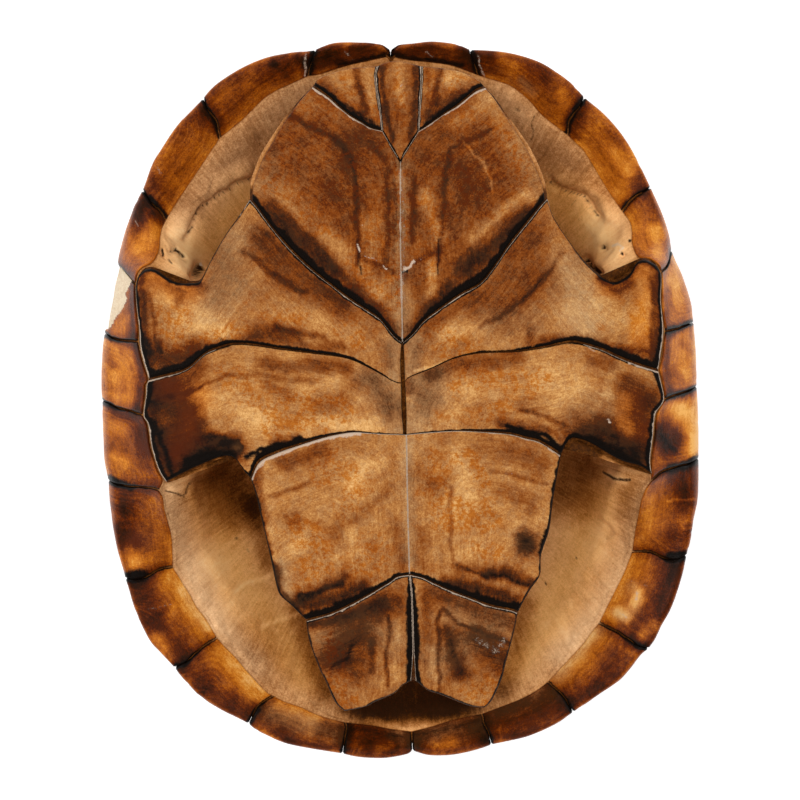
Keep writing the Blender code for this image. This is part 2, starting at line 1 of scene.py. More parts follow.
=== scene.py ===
"""The looks of a dried turtle shell that lies on its back: its bone, its horny scutes and their finishes.

Lengths are in millimetres until a mesh is made. What was seen from straight above is placed in grid steps, on
a square grid of 800 by 800 steps laid over the shell, counted from its top left corner, with the head end at
the top. A line on the grid is a list of numbers: x and y of its first point, then of the next, and so on.
"""

import math

import bpy
import numpy as np
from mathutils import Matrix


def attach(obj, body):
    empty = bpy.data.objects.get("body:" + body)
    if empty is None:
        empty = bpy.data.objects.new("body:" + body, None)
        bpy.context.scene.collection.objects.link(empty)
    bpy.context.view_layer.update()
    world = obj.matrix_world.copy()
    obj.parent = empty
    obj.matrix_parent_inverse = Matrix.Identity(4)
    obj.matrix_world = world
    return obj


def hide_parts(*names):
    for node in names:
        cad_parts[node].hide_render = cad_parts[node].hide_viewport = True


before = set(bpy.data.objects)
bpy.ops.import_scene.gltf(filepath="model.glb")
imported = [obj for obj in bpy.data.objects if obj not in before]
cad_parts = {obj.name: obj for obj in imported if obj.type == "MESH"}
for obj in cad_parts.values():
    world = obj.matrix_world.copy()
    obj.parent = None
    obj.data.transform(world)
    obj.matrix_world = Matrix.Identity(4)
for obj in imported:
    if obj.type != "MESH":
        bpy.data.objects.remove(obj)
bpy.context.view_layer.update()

MM = 0.001

# The grid: its steps along a side, its middle, the size of a step at the rim, and the height it is seen from
GRID_STEPS = 800
GRID_MIDDLE = 399.5
GRID_STEP = 0.265
EYE_HEIGHT = 1045.0
GRID_HEIGHT = 45.0

# Heights above the floor
RIM_HEIGHT = 44.5
RIM_RISE_FRONT = 2.5
RIM_RISE_REAR = 2.0
HALF_LENGTH = 95.0
PLASTRON_HEIGHT = 66.0

# How far the plastron's face falls off, with where each fall starts and over what distance it is reached
CROWN_DROP, CROWN_SPAN = 0.8, 40.0
BRIDGE_DROP, BRIDGE_START, BRIDGE_SPAN = 7.5, 40.0, 29.0
FRONT_DROP, FRONT_START, FRONT_SPAN = 2.5, 45.0, 42.0
REAR_DROP, REAR_START, REAR_SPAN = 2.0, 40.0, 40.0

# The dome, from the flat patch that it rests on out to the rim
CENTRE = np.array([0.0, 1.5])
FLAT_RADIUS = 15.0
DOME_BELLY = 2.3
SIDE_POWER = 0.67
END_POWER = 0.88
RING = 0.84
SIDE_INSET = 1.1
END_INSET = 2.0
END_DROP = 1.4
DROP_POWER = 8

# The rim's nose, and its underside, which falls inwards at the ends and climbs to the plastron at the bridges
NOSE = 2.2
FREE_SLOPE = -0.4
BRIDGE_RISE = 13.0
BRIDGE_PLACES = (2.6, 8.2)
BRIDGE_BLEND = 1.3
TWIST = 1.2

# The bone's lip inside the rim, and the knob on it in front of each bridge
LIP = 2.0
KNOB = 7.0
KNOB_PLACE = 3.55
KNOB_SPREAD = 0.22

# Thicknesses: the horn, how deep the bone starts under the horn's face, and the bone itself
HORN = 0.8
BONE_DEPTH = 0.95
DOME_BONE_DEPTH = 1.3
BOWL_DEPTH = 5.75
PLATE = 4.9
PLATE_ROUND = 2.0
SLIT_DEPTH = 1.6

# Horn: the drop and radius of a rounded edge, the depth and width of the dip beside it, and the growth ridges
EDGE_DROP, EDGE_ROUND = 0.6, 0.7
SEAM_DIP, SEAM_DIP_WIDTH = 0.22, 2.2
RIDGE, RIDGE_SIZE = 0.16, 2.2
RIM_DIP, RIM_DIP_WIDTH, RIM_ROUND = 0.14, 1.2, 0.45
RIM_RIDGE, RIM_RIDGE_SIZE = 0.2, 2.4
THINNING, THINNING_WIDTH = 0.86, 6.0
CHIP_DEPTH = 0.72
DOME_GAP, DOME_DROP, DOME_ROUND, DOME_DIP, DOME_DIP_WIDTH = 0.45, 0.55, 1.0, 0.25, 3.0
DOME_RIDGE, DOME_RIDGE_SIZE = 0.3, 1.8

# Mesh steps
FINE = 0.38
DOME_FINE = 0.9
RING_POINTS = 1200
RUN_POINTS = 64
OUTLINE_STEPS = 960
SEAM_STEPS = 40
PLATE_ROWS = 420
PLATE_FACE_POINTS = 40
NOSE_TURNS = np.linspace(0, 1, 8)
WALL_RUNS = np.array([0.0, 0.05, 0.12, 0.25, 0.4, 0.55, 0.7, 0.82, 0.9, 0.95, 0.98])
DOME_RUNS = [(run, DOME_BONE_DEPTH) for run in (0.0, 0.2, 0.4, 0.56, 0.7, 0.78)]
DOME_RUNS += [(run, BONE_DEPTH) for run in (RING, 0.9, 0.95, 0.985, 1.0)]
BEND_STEPS = 13

# The bone from the scutes' inner edge over the lip: share of its width, way past it and drop. Then the bone
# back along the bowl: share of the way out from the middle, and share of the drop that is left
LIP_CURVE = [(0, 0, 0), (0.5, 0.0, 0.3), (1.0, 0.6, 1.1), (1.0, 3.0, 3.0), (1.0, 7.0, 7.0)]
BOWL_CURVE = [(1, 1), (0.94, 0.55), (0.87, 0.25), (0.78, 0.07), (0.64, 0.0), (0.44, 0.0), (0.24, 0.0)]
LIP_ROWS, BOWL_ROWS, SLOPE_ROWS = 24, 28, 11
LIP_ROW = 29

# Outline of the 12 marginal scutes on the right, each from its front seam to its rear seam. Each line after
# the first starts where the one before it ends
RIM_RIGHT = [
    [390, 50, 394, 47, 400, 44, 415, 42.5, 430, 41, 445, 42, 458, 44.5, 470, 49.5],
    [480, 49.5, 500, 51, 520, 55, 540, 62, 555, 71, 570, 82, 584, 97],
    [600, 110, 610, 120, 620, 132, 630, 147, 640, 166, 650, 187],
    [656, 200, 662, 214, 668, 232, 671, 250],
    [675, 260, 681, 273, 687, 290, 691, 305, 693, 322],
    [695, 345, 696, 370, 696, 386],
    [697, 400, 698, 430, 698, 458],
    [698, 480, 697, 500, 693, 520, 690, 540, 686, 555],
    [683, 570, 679, 585, 674, 600, 668, 613, 661, 625, 655, 638, 648, 648],
    [640, 655, 630, 668, 618, 681, 600, 693, 590, 700, 572, 712],
    [560, 721, 545, 729, 530, 735, 515, 739, 491, 744],
    [480, 748, 465, 752, 450, 754.5, 435, 755, 425, 754, 412, 750],
]

# The same on the left
RIM_LEFT = [
    [390, 50, 386, 47, 380, 44, 365, 42, 345, 41.5, 330, 43, 313, 50],
    [300, 51, 280, 53.5, 260, 59, 240, 68, 220, 80.5, 210, 89, 202.5, 98],
    [190, 111, 180, 121, 170, 134, 160, 149.5, 152, 163, 142, 190],
    [135, 203, 130, 216, 125, 230, 119, 252, 117, 264],
    [115, 272, 112, 284, 110, 297, 107, 312, 104, 333],
    [102, 350, 101, 370, 101, 390, 102, 400],
    [102, 420, 103, 440, 104, 460, 108, 480],
    [109, 500, 111, 515, 113, 530, 117, 550, 125, 578],
    [130, 595, 135, 610, 141, 624, 150, 641, 160, 652, 175, 668],
    [180, 675, 190, 686, 200, 696, 220, 709, 248, 723],
    [255, 729, 265, 734, 285, 743, 310, 748, 342, 753],
    [355, 756, 370, 757.5, 385, 757.5, 405, 754, 412, 750],
]

# The inner edges of the same scutes
INNER_RIGHT = [
    [391, 55, 400, 58, 415, 60.5, 430, 62, 450, 65, 465, 70, 478, 75],
    [490, 79, 500, 82, 512, 87, 528, 100, 541, 115, 560, 130, 567, 135],
    [575, 143, 582, 150, 590, 162, 603, 184, 610, 195, 621, 211],
    [629, 222, 631, 232, 631, 243, 637, 257, 648, 259, 657, 265, 661, 272],
    [661, 285, 660.5, 300, 661, 312, 664, 331],
    [662.5, 340, 661, 355, 658, 370, 660, 378, 664, 399],
    [656, 412, 654, 422, 653, 435, 650, 460, 650, 481],
    [645, 488, 640, 500, 637, 515, 634, 530, 631, 551],
    [627, 562, 622, 574, 615, 588, 608, 602, 598, 622],
    [590, 632, 580, 645, 558, 669, 547, 681],
    [535, 690, 520, 698, 505, 704, 481, 713],
    [475, 714, 460, 717, 445, 721, 430, 726, 411, 731],
]
INNER_LEFT = [
    [389, 55, 380, 57.5, 365, 61, 350, 64.5, 335, 69, 320, 74, 307, 76],
    [290, 84, 275, 91, 262, 100, 243, 119, 230, 130, 219.5, 138],
    [215, 145, 207, 157, 193, 178, 185, 190, 170, 213, 166, 220],
    [162, 228, 160, 238, 159, 250, 153, 262, 141, 269, 137, 275, 135, 284],
    [135.5, 300, 137, 315, 138.5, 328, 138, 341],
    [140, 350, 143, 362, 148, 379, 145.5, 385, 145, 395, 142.5, 415],
    [147, 424, 149, 435, 151, 448, 158, 470, 163, 480, 159, 490],
    [163, 497, 165, 510, 171, 532, 172.5, 545, 173, 566.5],
    [183, 583, 190, 594, 198, 608, 206, 618, 217, 637],
    [224, 645, 235, 656, 245, 668, 265, 690, 273, 695],
    [285, 701, 300, 706, 315, 713, 330, 718, 345, 721.5],
    [360, 723, 375, 725, 390, 728, 411, 731],
]

# Seams between the marginal scutes, from the rim inwards: the head notch, then seam 1 to 11, then the tail
SEAMS_RIGHT = [
    [390, 50, 391, 55], [470, 49, 471, 53, 475, 62, 478, 75],
    [584, 97, 581, 103, 573, 113, 568, 124, 567, 135], [650, 187, 640, 192, 630, 200, 621, 211],
    [671, 251, 668, 264, 661, 272], [693, 322, 685, 325, 677, 328, 664, 331],
    [696, 386, 690, 390, 680, 393, 664, 399], [698, 458, 690, 464, 680, 466, 660, 472, 650, 481],
    [686, 555, 676, 561, 668, 560, 660, 556, 650, 552, 631, 551],
    [648, 648, 638, 647, 632, 642, 615, 631, 598, 622], [572, 711, 566, 700, 560, 693, 547, 681],
    [491, 744, 489, 735, 485, 727, 481, 713], [412, 750, 411, 731],
]
SEAMS_LEFT = [
    [390, 50, 389, 55], [314, 50, 309, 60, 307, 76], [203, 98, 205, 106, 211, 113, 216, 122, 219.5, 138],
    [142, 190, 150, 202, 158, 209, 166, 220], [117, 263, 120, 268, 128, 276, 135, 284],
    [104, 333, 113, 338, 125, 340, 138, 341], [102, 400, 107, 403, 115, 407, 127, 410, 142.5, 415],
    [108, 480, 115, 484, 125, 486, 152, 488, 159, 490],
    [125, 578, 135, 580, 143, 579, 152, 573, 163, 568, 173, 566.5],
    [175, 667, 185, 663, 195, 653, 205, 645, 217, 637], [248, 723, 252, 715, 258, 706, 273, 695],
    [342, 753, 344, 740, 346, 728, 345, 721.5], [412, 750, 411, 731],
]

# Seams and free edges of the plastron's scutes
SEAMS = {
    "front_middle": [377, 65, 382, 62.5, 390, 60, 400, 60, 412, 62.5, 421, 65],
    "front_left": [377, 65, 365, 65.5, 350, 67, 340, 69, 325, 74, 316, 79],
    "front_right": [421, 65, 435, 66, 450, 68, 462, 71, 473, 76, 480, 81],
    "corner_left": [316, 79, 312, 85],
    "corner_right": [480, 81, 485, 86],
    "intergular_left": [377, 65, 375, 75, 376, 88, 380, 112, 382, 130],
    "intergular_right": [421, 65, 421, 80, 420, 95, 419, 110, 418, 130],
    "tip_left": [400, 161, 396, 154, 391, 146, 386, 137, 382, 130],
    "tip_right": [400, 161, 403, 154, 408, 146, 413, 138, 418, 130],
    "gular_rear_left": [382, 130, 370, 127, 360, 121, 350, 115, 340, 107, 328, 96, 312, 85],
    "gular_rear_right": [418, 130, 425, 126, 445, 112, 455, 106, 465, 98, 475, 90, 485, 86],
    "midline_humeral": [400, 161, 400, 240, 401, 290, 402, 342],
    "edge_humeral_left": [312, 85, 300, 97, 290, 109, 281, 120, 266, 143, 258, 157, 250, 180, 249, 198],
    "edge_humeral_right": [485, 86, 495, 97, 505, 111, 515, 124, 532, 150, 543, 175, 546, 187, 547, 197],
    "humeral_pectoral_left": [
        402, 342, 395, 337, 388, 329, 380, 319, 370, 312, 350, 299, 330, 284, 310, 268, 290, 249, 272, 228,
        256, 206, 249, 198,
    ],
    "humeral_pectoral_right": [
        402, 342, 412, 334, 424, 320, 440, 308, 460, 294, 480, 283, 495, 265, 510, 243, 530, 218, 540, 205,
        547, 197,
    ],
    "axilla_left": [
        249, 198, 240, 212, 225, 233, 212, 255, 203, 273, 199, 279, 190, 280, 180, 280, 170, 277, 155, 267,
        147, 266, 141, 269, 137, 275, 135, 284,
    ],
    "axilla_right": [
        547, 197, 553, 215, 567, 237, 582, 257, 598, 272, 612, 279, 622, 276, 630, 270, 637, 259, 645, 257,
        652, 260, 657, 264, 661, 272,
    ],
    "midline_pectoral": [402, 342, 402, 360, 403, 383],
    "pectoral_rear_left": [
        403, 383, 393, 381, 385, 376, 365, 365, 345, 357, 315, 352.5, 280, 348, 250, 343.5, 230, 343.5,
        210, 350, 203, 354, 190, 366, 180, 371, 160, 376, 148, 379,
    ],
    "pectoral_rear_right": [
        403, 383, 406, 378, 417, 373, 430, 368, 455, 357, 480, 352, 515, 350.5, 545, 346, 560, 342.5,
        575, 341, 600, 348, 620, 357, 640, 364.5, 658, 370,
    ],
    "bridge_front_left": [135, 284, 135.5, 300, 137, 315, 138.5, 328, 140, 350, 148, 379],
    "bridge_front_right": [661, 272, 661, 285, 660.5, 300, 663, 325, 662.5, 340, 658, 370],
    "midline_abdominal": [403, 383, 403.5, 400, 404.5, 434],
    "bridge_rear_left": [148, 379, 145.5, 385, 145, 395, 142.5, 415, 147, 424, 151, 448, 158, 470, 166, 483],
    "bridge_rear_right": [658, 370, 660, 378, 664, 399, 656, 412, 654, 422, 653, 435, 650, 460, 652, 475],
    "abdominal_rear_left": [
        404.5, 434, 380, 433, 365, 432, 350, 431.5, 325, 436, 295, 445, 275, 452, 258, 461, 250, 478,
    ],
    "abdominal_rear_right": [
        404.5, 434, 425, 432, 455, 430, 485, 431, 510, 433, 525, 437, 540, 441, 561, 454,
    ],
    "groin_left": [250, 478, 245, 473, 238, 463, 232, 457.5, 220, 458, 200, 466, 185, 473, 166, 483],
    "groin_right": [561, 454, 566, 445, 573, 439, 590, 444, 612, 457, 625, 463, 640, 467, 652, 475],
    "midline_femoral": [404.5, 434, 406, 440, 407, 500, 409, 574],
    "edge_femoral_left": [250, 478, 255, 495, 262, 525, 269, 555, 275, 583, 279, 595, 290, 605, 305, 620],
    "edge_femoral_right": [561, 454, 558, 470, 553, 500, 549, 530, 541, 555, 540, 575, 530, 590, 518, 612],
    "femoral_rear_left": [409, 574, 397, 576, 390, 581, 380, 587, 370, 593, 350, 604, 330, 613, 305, 620],
    "femoral_rear_right": [409, 574, 422, 577, 430, 581, 450, 590, 470, 597.5, 490, 605, 510, 609, 518, 612],
    "midline_anal": [409, 574, 411, 590, 412, 615, 413, 655, 413, 680],
    "edge_anal_left": [305, 620, 308, 640, 318, 668, 324, 680, 334, 702, 344, 711.5],
    "edge_anal_right": [518, 612, 514, 632, 506, 662, 502, 678, 492, 700, 484, 708],
    "notch_left": [413, 680, 402, 686, 395, 693, 385, 698, 375, 702, 365, 707, 344, 711.5],
    "notch_right": [413, 680, 420, 685, 428, 691, 440, 695, 460, 703, 470, 706.5, 484, 708],
}

# Seams under the dome, right half: corners of the middle row, its side corners, and places along the rim
ROW_ENDS = [(14.0, 50.0), (15.0, 20.0), (14.0, -17.0), (10.0, -50.0)]
ROW_SIDES = [(22.0, 36.0), (23.0, 2.0), (19.0, -34.0)]
RIM_STOPS = [1.3, 4.5, 6.5, 8.5, 10.6]
CORNER_PLACES = 1.2
RESTING_SCUTE = "vertebral_3"

# How each plastral scute's front, rear, inner and outer edge looks: its seams, with a minus where one is
# turned, then the gap, the black band and the white line along them, in millimetres. Lists run outwards from
# the midline, and on it from head to tail
FREE_LOOK = ([0.3], [0.5], [0])
BRIDGE_LOOK = ([0.15], [2.6, 1.8, 2.5], [0.2, 0.5, 0.4])
SCUTE_EDGES = {
    "gular": [
        ("front_SIDE", [0.25], [0], [0]),
        ("gular_rear_SIDE", [0.15, 0.2, 0.3, 0.35], [0.8, 1.5, 1.7, 1.4], [0]),
        ("intergular_SIDE", [0.1], [0.5], [0.3]),
        ("corner_SIDE", [0.3], [0.4], [0]),
    ],
    "humeral": [
        ("tip_SIDE gular_rear_SIDE", [0.1, 0.15, 0.2, 0.3], [1.0, 0.3, 0.2, 0.2], [0, 0.4, 0.5, 0.8]),
        ("humeral_pectoral_SIDE", [0.2, 0.3, 0.35, 0.4, 0.3], [1.0, 2.4, 3.3, 3.5, 3.3, 2.4], [0]),
        ("midline_humeral", [0.02], [0], [0.3]),
        ("edge_humeral_SIDE", [0.3, 0.6, 1.1, 1.3, 1.0], [0], [0]),
    ],
    "pectoral": [
        (
            "humeral_pectoral_SIDE axilla_SIDE", [0.15, 0.2, 0.25, 0.3, 0.5, 0.7, 0.5],
            [1.0, 1.2, 1.2, 1.2, 0.3, 1.2, 1.4], [0.1, 0.4, 0.15, 0.1, 0, 0, 0],
        ),
        (
            "pectoral_rear_SIDE", [0.05, 0.08, 0.15, 0.25, 0.35, 0.3],
            {"left": [0.1, 1.0, 1.4, 1.0, 2.2, 2.2], "right": [0.1, 0.3, 0.6, 1.2, 2.2, 2.2]}, [0],
        ),
        ("midline_pectoral", [0.2, 0.5, 0.5], [0.25], [0]),
        ("bridge_front_SIDE", *BRIDGE_LOOK),
    ],
    "abdominal": [
        (
            "pectoral_rear_SIDE", [0.05, 0.08, 0.15, 0.25, 0.35, 0.3], [0.1, 0.2, 0.3, 0.4, 0.9, 1.0],
            [0, 0, 0, 0, 0.1, 0.7],
        ),
        (
            "abdominal_rear_SIDE groin_SIDE", [0.05, 0.08, 0.15, 0.3, 0.4, 0.5, 0.5, 0.5],
            [0.2, 0.3, 0.6, 1.6, 2.2, 1.4, 1.2, 1.2], [0],
        ),
        ("midline_abdominal", [0.5, 0.5, 0.25], [0.25], [0]),
        ("bridge_rear_SIDE", *BRIDGE_LOOK),
    ],
    "femoral": [
        (
            "abdominal_rear_SIDE", [0.08, 0.15, 0.3, 0.4], [0.2],
            {"left": [0.1, 0.6, 0.9, 0.9], "right": [0.1, 0.3, 0.4, 0.6]},
        ),
        ("femoral_rear_SIDE", [0.15, 0.2, 0.25, 0.3], [1.0, 1.6, 2.4, 3.0, 2.6], [0]),
        ("midline_femoral", [0.02], [0], [0.3]),
        ("edge_femoral_SIDE", *FREE_LOOK),
    ],
    "anal": [
        ("femoral_rear_SIDE", [0.15, 0.2, 0.25, 0.3], [0.8], [0.4, 0.5, 0.4]),
        ("notch_SIDE", *FREE_LOOK),
        ("midline_anal", [0.04, 0.05, 0.06, 0.1, 0.7], [0.8, 2.2, 2.4, 2.6, 2.6], [0.3]),
        ("edge_anal_SIDE", *FREE_LOOK),
    ],
    "intergular": [
        ("front_middle", [0.25], [0], [0]),
        ("-tip_left tip_right", [0.1], [0.9], [0]),
        ("intergular_left", [0.1], [0.9], [0.3]),
        ("intergular_right", [0.1], [0.9], [0.3]),
    ],
}

# Outline of one side of the bone plate behind the scutes, then points on it, each with how far towards the
# head its partner on the midline lies. The midline leans: at these places it is this far to the right
PLATE_OUTLINE = (
    "front_SIDE corner_SIDE edge_humeral_SIDE axilla_SIDE bridge_front_SIDE bridge_rear_SIDE -groin_SIDE"
    " edge_femoral_SIDE edge_anal_SIDE -notch_SIDE"
)
PLATE_PAIRS = [
    ("edge_humeral", 0, 80), ("edge_humeral", -1, 45), ("axilla", 20, 16), ("axilla", -1, 6),
    ("bridge_front", -1, 4), ("groin", -1, 1), ("groin", 20, -6), ("groin", 0, -15), ("edge_anal", 0, -52),
    ("edge_anal", -1, -70.5),
]
MIDLINE_LEAN = ([-73, -46, -9, 15, 88], [3.4, 2.6, 1.3, 0.7, 0.0])

RIM_NAMES = [("right", rank) for rank in range(1, 13)] + [("left", rank) for rank in range(12, 0, -1)]


# Curves and noise


def smooth(value):
    """0 up to 0, 1 from 1 on, and between them 3 times the square less twice the cube."""
    value = np.clip(value, 0, 1)
    return value * value * (3 - 2 * value)


def pairs(numbers):
    """The points of a line on the grid."""
    return np.reshape(np.asarray(numbers, float), (-1, 2))


def curve(points, place):
    """Points on a Catmull-Rom curve, which passes the given points at place = 0, 1, 2 and so on."""
    points = np.asarray(points, float)
    padded = np.vstack([2 * points[0] - points[1], points, 2 * points[-1] - points[-2]])
    span = np.clip(np.floor(place).astype(int), 0, len(points) - 2)
    part = (place - span)[..., None]
    before, start, end, after = (padded[span + step] for step in range(4))
    return 0.5 * (
        2 * start
        + (end - before) * part
        + (2 * before - 5 * start + 4 * end - after) * part**2
        + (3 * start - before - 3 * end + after) * part**3
    )


def walked(line):
    """How far along a line of straight pieces each of its points is."""
    return np.concatenate([[0], np.cumsum(np.linalg.norm(np.diff(line, axis=0), axis=1))])


def at(line, distance):
    """Points of a line of straight pieces at distances along it."""
    return np.stack([np.interp(distance, walked(line), axis) for axis in line.T], axis=-1)


def along(points, count):
    """The curve through the points, cut into count stretches of equal length."""
    fine = curve(points, np.linspace(0, len(points) - 1, 24 * len(points)))
    return at(fine, np.linspace(0, walked(fine)[-1], count + 1))


def chain(*runs):
    """Several runs of points end to end, with each shared end kept once."""
    return np.vstack([runs[0]] + [run[1:] for run in runs[1:]])


def on_line(line, share):
    """Points at shares 0 to 1 of the length of a line of straight pieces."""
    return at(line, share * walked(line)[-1])


def cloud(x, y, size, seed, octaves=3):
    """Soft random values about 0.5: random numbers on a square lattice, blended, with finer ones added."""
    table = np.random.default_rng(seed).random((64, 64))
    total, weight, weights = 0.0, 1.0, 0.0
    for octave in range(octaves):
        u, v = x / size * 2**octave + 7.3 * octave, y / size * 2**octave + 3.1 * octave
        column, row = np.floor(u).astype(int), np.floor(v).astype(int)
        a, b = smooth(u - column), smooth(v - row)
        low, high = (
            table[line % 64, column % 64] * (1 - a) + table[line % 64, (column + 1) % 64] * a
            for line in (row, row + 1)
        )
        total = total + weight * (low * (1 - b) + high * b)
        weights += weight
        weight *= 0.5
    return total / weights


def with_height(plan, heights):
    """Points over plan points, at these heights."""
    return np.concatenate([plan, np.asarray(heights)[..., None]], axis=-1)


# The shell's forms


def to_plan(spots, height):
    """Plan points of grid steps, for points at this height."""
    scale = GRID_STEP * (EYE_HEIGHT - height) / (EYE_HEIGHT - GRID_HEIGHT)
    spots = np.asarray(spots, float)
    offset = np.stack([spots[..., 0] - GRID_MIDDLE, GRID_MIDDLE - spots[..., 1]], axis=-1)
    return offset * (scale if np.ndim(scale) == 0 else scale[..., None])


def to_grid(points):
    """Grid steps at which points of the shell are seen from above."""
    scale = GRID_STEP * (EYE_HEIGHT - points[..., 2]) / (EYE_HEIGHT - GRID_HEIGHT)
    return np.stack([GRID_MIDDLE + points[..., 0] / scale, GRID_MIDDLE - points[..., 1] / scale], axis=-1)


def rim_height(y):
    """Height of the rim's edge: lowest at the middle, rising with the square of the way to either end."""
    rise = np.where(y > 0, RIM_RISE_FRONT, RIM_RISE_REAR)
    return RIM_HEIGHT + rise * (y / HALF_LENGTH) ** 2


def plastron_height(plan):
    """The plastron's outer face: nearly level, falling off to the bridges and at the ends of both lobes."""
    x, y = np.abs(plan[..., 0]), plan[..., 1]
    height = PLASTRON_HEIGHT - CROWN_DROP * np.clip(x / CROWN_SPAN, 0, 1) ** 2
    height = height - BRIDGE_DROP * (np.clip(x - BRIDGE_START, 0, None) / BRIDGE_SPAN) ** 2
    height = height - FRONT_DROP * (np.clip(y - FRONT_START, 0, None) / FRONT_SPAN) ** 2
    return height - REAR_DROP * (np.clip(-y - REAR_START, 0, None) / REAR_SPAN) ** 2


def from_head(place):
    """The place along the rim, counted from the head end down either side, 0 to 12."""
    side = np.mod(place, 24.0)
    return np.minimum(side, 24.0 - side)


def bridge(place):
    """1 along the bridges, where the rim's underside climbs to the plastron, and 0 at the free rim."""
    start, end = BRIDGE_PLACES
    side = from_head(place)
    return smooth((side - start) / BRIDGE_BLEND) * smooth((end - side) / BRIDGE_BLEND)


def joined(table):
    """The table's lines, each with the end of the one before it put in front."""
    lines = [pairs(table[0])]
    for numbers in table[1:]:
        lines.append(np.vstack([lines[-1][-1:], pairs(numbers)]))
    return lines


def ring_line(right, left):
    """The runs of both sides as one closed line, clockwise from the head end, with even steps in each run."""
    runs = joined(right) + [run[::-1] for run in joined(left)[::-1]]
    return np.vstack([along(run, RUN_POINTS)[:-1] for run in runs])


def on_ring(line, place):
    """Points of a closed line at places 0 to 24, where a whole place is a seam between two marginals."""
    step = np.mod(place, 24.0) * RUN_POINTS
    low = np.floor(step).astype(int)
    part = (step - low)[..., None]
    return line[low % len(line)] * (1 - part) + line[(low + 1) % len(line)] * part


def edge_lines():
    """The rim and the inner edge as plan lines. Each is brought to the plan by the height it has there."""
    rim_spots, inner_spots = ring_line(RIM_RIGHT, RIM_LEFT), ring_line(INNER_RIGHT, INNER_LEFT)
    rim = to_plan(rim_spots, GRID_HEIGHT)
    height = rim_height(rim[:, 1])
    rim = to_plan(rim_spots, height)
    place = np.arange(len(rim)) / RUN_POINTS
    inner = to_plan(inner_spots, GRID_HEIGHT)
    for _ in range(2):
        free_rise = FREE_SLOPE * np.linalg.norm(rim - inner, axis=1)
        inner = to_plan(inner_spots, height + free_rise + (BRIDGE_RISE - free_rise) * bridge(place))
    return rim, inner


RIM_LINE, INNER_LINE = edge_lines()


def rim_point(place):
    """Plan points of the rim's edge."""
    return on_ring(RIM_LINE, place)


def inner_point(place):
    """Plan points where the scutes under the rim end."""
    return on_ring(INNER_LINE, place)


def lip_width(place):
    """How far the bone stands in past the scutes: a narrow lip, and a broad knob in front of each bridge."""
    knob = KNOB * np.exp(-(((from_head(place) - KNOB_PLACE) / KNOB_SPREAD) ** 2))
    return LIP * (1 - bridge(place)) + knob


def wall_power(place):
    """How upright the dome ends at the rim: more so the smaller this is, so least at the head and tail."""
    return END_POWER + (SIDE_POWER - END_POWER) * np.sin(math.pi * from_head(place) / 12) ** 2


def shell_fall(run, edge, drop, power, depth):
    """Height of the dome: flat at run 0, and at run 1, the rim, the edge's height less the drop."""
    run = np.clip(run, 0, 1)
    return depth + (edge - depth) * (1 - (1 - run**DOME_BELLY) ** power) - drop * run**DROP_POWER


def outwards(place):
    """Unit plan direction from the middle to a place on the rim, and how far off the rim is."""
    ray = rim_point(place) - CENTRE
    reach = np.hypot(ray[..., 0], ray[..., 1])
    return ray / reach[..., None], reach


def dome_edge(place, depth):
    """The dome sunk by depth: its reach, the rim's height, the drop below that, and the wall's power."""
    free = 1 - bridge(place)
    inset = (SIDE_INSET + (END_INSET - SIDE_INSET) * free) * depth
    height = rim_height(rim_point(place)[..., 1])
    return outwards(place)[1] - inset, height, END_DROP * free * depth, wall_power(place)


def dome_point(place, run, depth):
    """Point of the dome on the ray to a place on the rim, sunk into the shell by depth."""
    reach, *form = dome_edge(place, depth)
    plan = CENTRE + outwards(place)[0] * (FLAT_RADIUS + run * (reach - FLAT_RADIUS))[..., None]
    return with_height(plan, shell_fall(run, *form, depth))


def dome_heights(plan, depth):
    """Heights of the same dome over plan points."""
    place = np.linspace(0, 24, OUTLINE_STEPS, endpoint=False)
    turn = np.arctan2(*outwards(place)[0].T[::-1])
    offset = plan - CENTRE
    angle = np.arctan2(offset[..., 1], offset[..., 0])
    level = np.mean(depth)
    reach, *form = (np.interp(angle, turn, values, period=2 * math.pi) for values in dome_edge(place, level))
    run = (np.hypot(offset[..., 0], offset[..., 1]) - FLAT_RADIUS) / (reach - FLAT_RADIUS)
    return shell_fall(run, *form, level) + (depth - level)


def underside_width(place):
    """How wide the rim's underside is in plan."""
    return np.hypot(*np.moveaxis(rim_point(place) - inner_point(place), -1, 0))


def underside_point(place, across, depth):
    """Point of the rim's underside: a quarter round from the nose, then a slope to the scutes' inner edge."""
    direction, rim_reach = outwards(place)
    reach = dome_edge(place, depth)[0]
    start = CENTRE + direction * reach[..., None]
    width = underside_width(place)
    plan = start + (inner_point(place) - start) * across[..., None]
    round_off = np.sqrt(1 - (1 - np.clip(across * width / NOSE, 0, 1)) ** 2)
    free_rise = FREE_SLOPE * width
    bridged = bridge(place)
    climb = free_rise + (BRIDGE_RISE - free_rise) * bridged - NOSE
    slope = climb / width
    falling = slope < 0
    sunk = depth * (round_off + (np.hypot(1, slope) - 1) * np.where(falling, round_off, across))
    sunk = sunk + depth * TWIST * bridged * (1 - bridged) * across
    sunk = sunk - np.where(falling, slope * (1 - across) * (rim_reach - reach), 0)
    height = rim_height(rim_point(place)[..., 1]) + NOSE * round_off + climb * across - sunk
    return with_height(plan, height)


# Drawing on the grid


def line_distance(spots, line):
    """Distance of each spot from a line of straight pieces."""
    nearest = np.full(spots.shape[:-1], np.inf)
    for start, end in zip(line[:-1], line[1:]):
        step = end - start
        share = np.clip((spots - start) @ step / max(step @ step, 1e-9), 0, 1)
        gap = spots - start - share[..., None] * step
        nearest = np.minimum(nearest, np.hypot(gap[..., 0], gap[..., 1]))
    return nearest


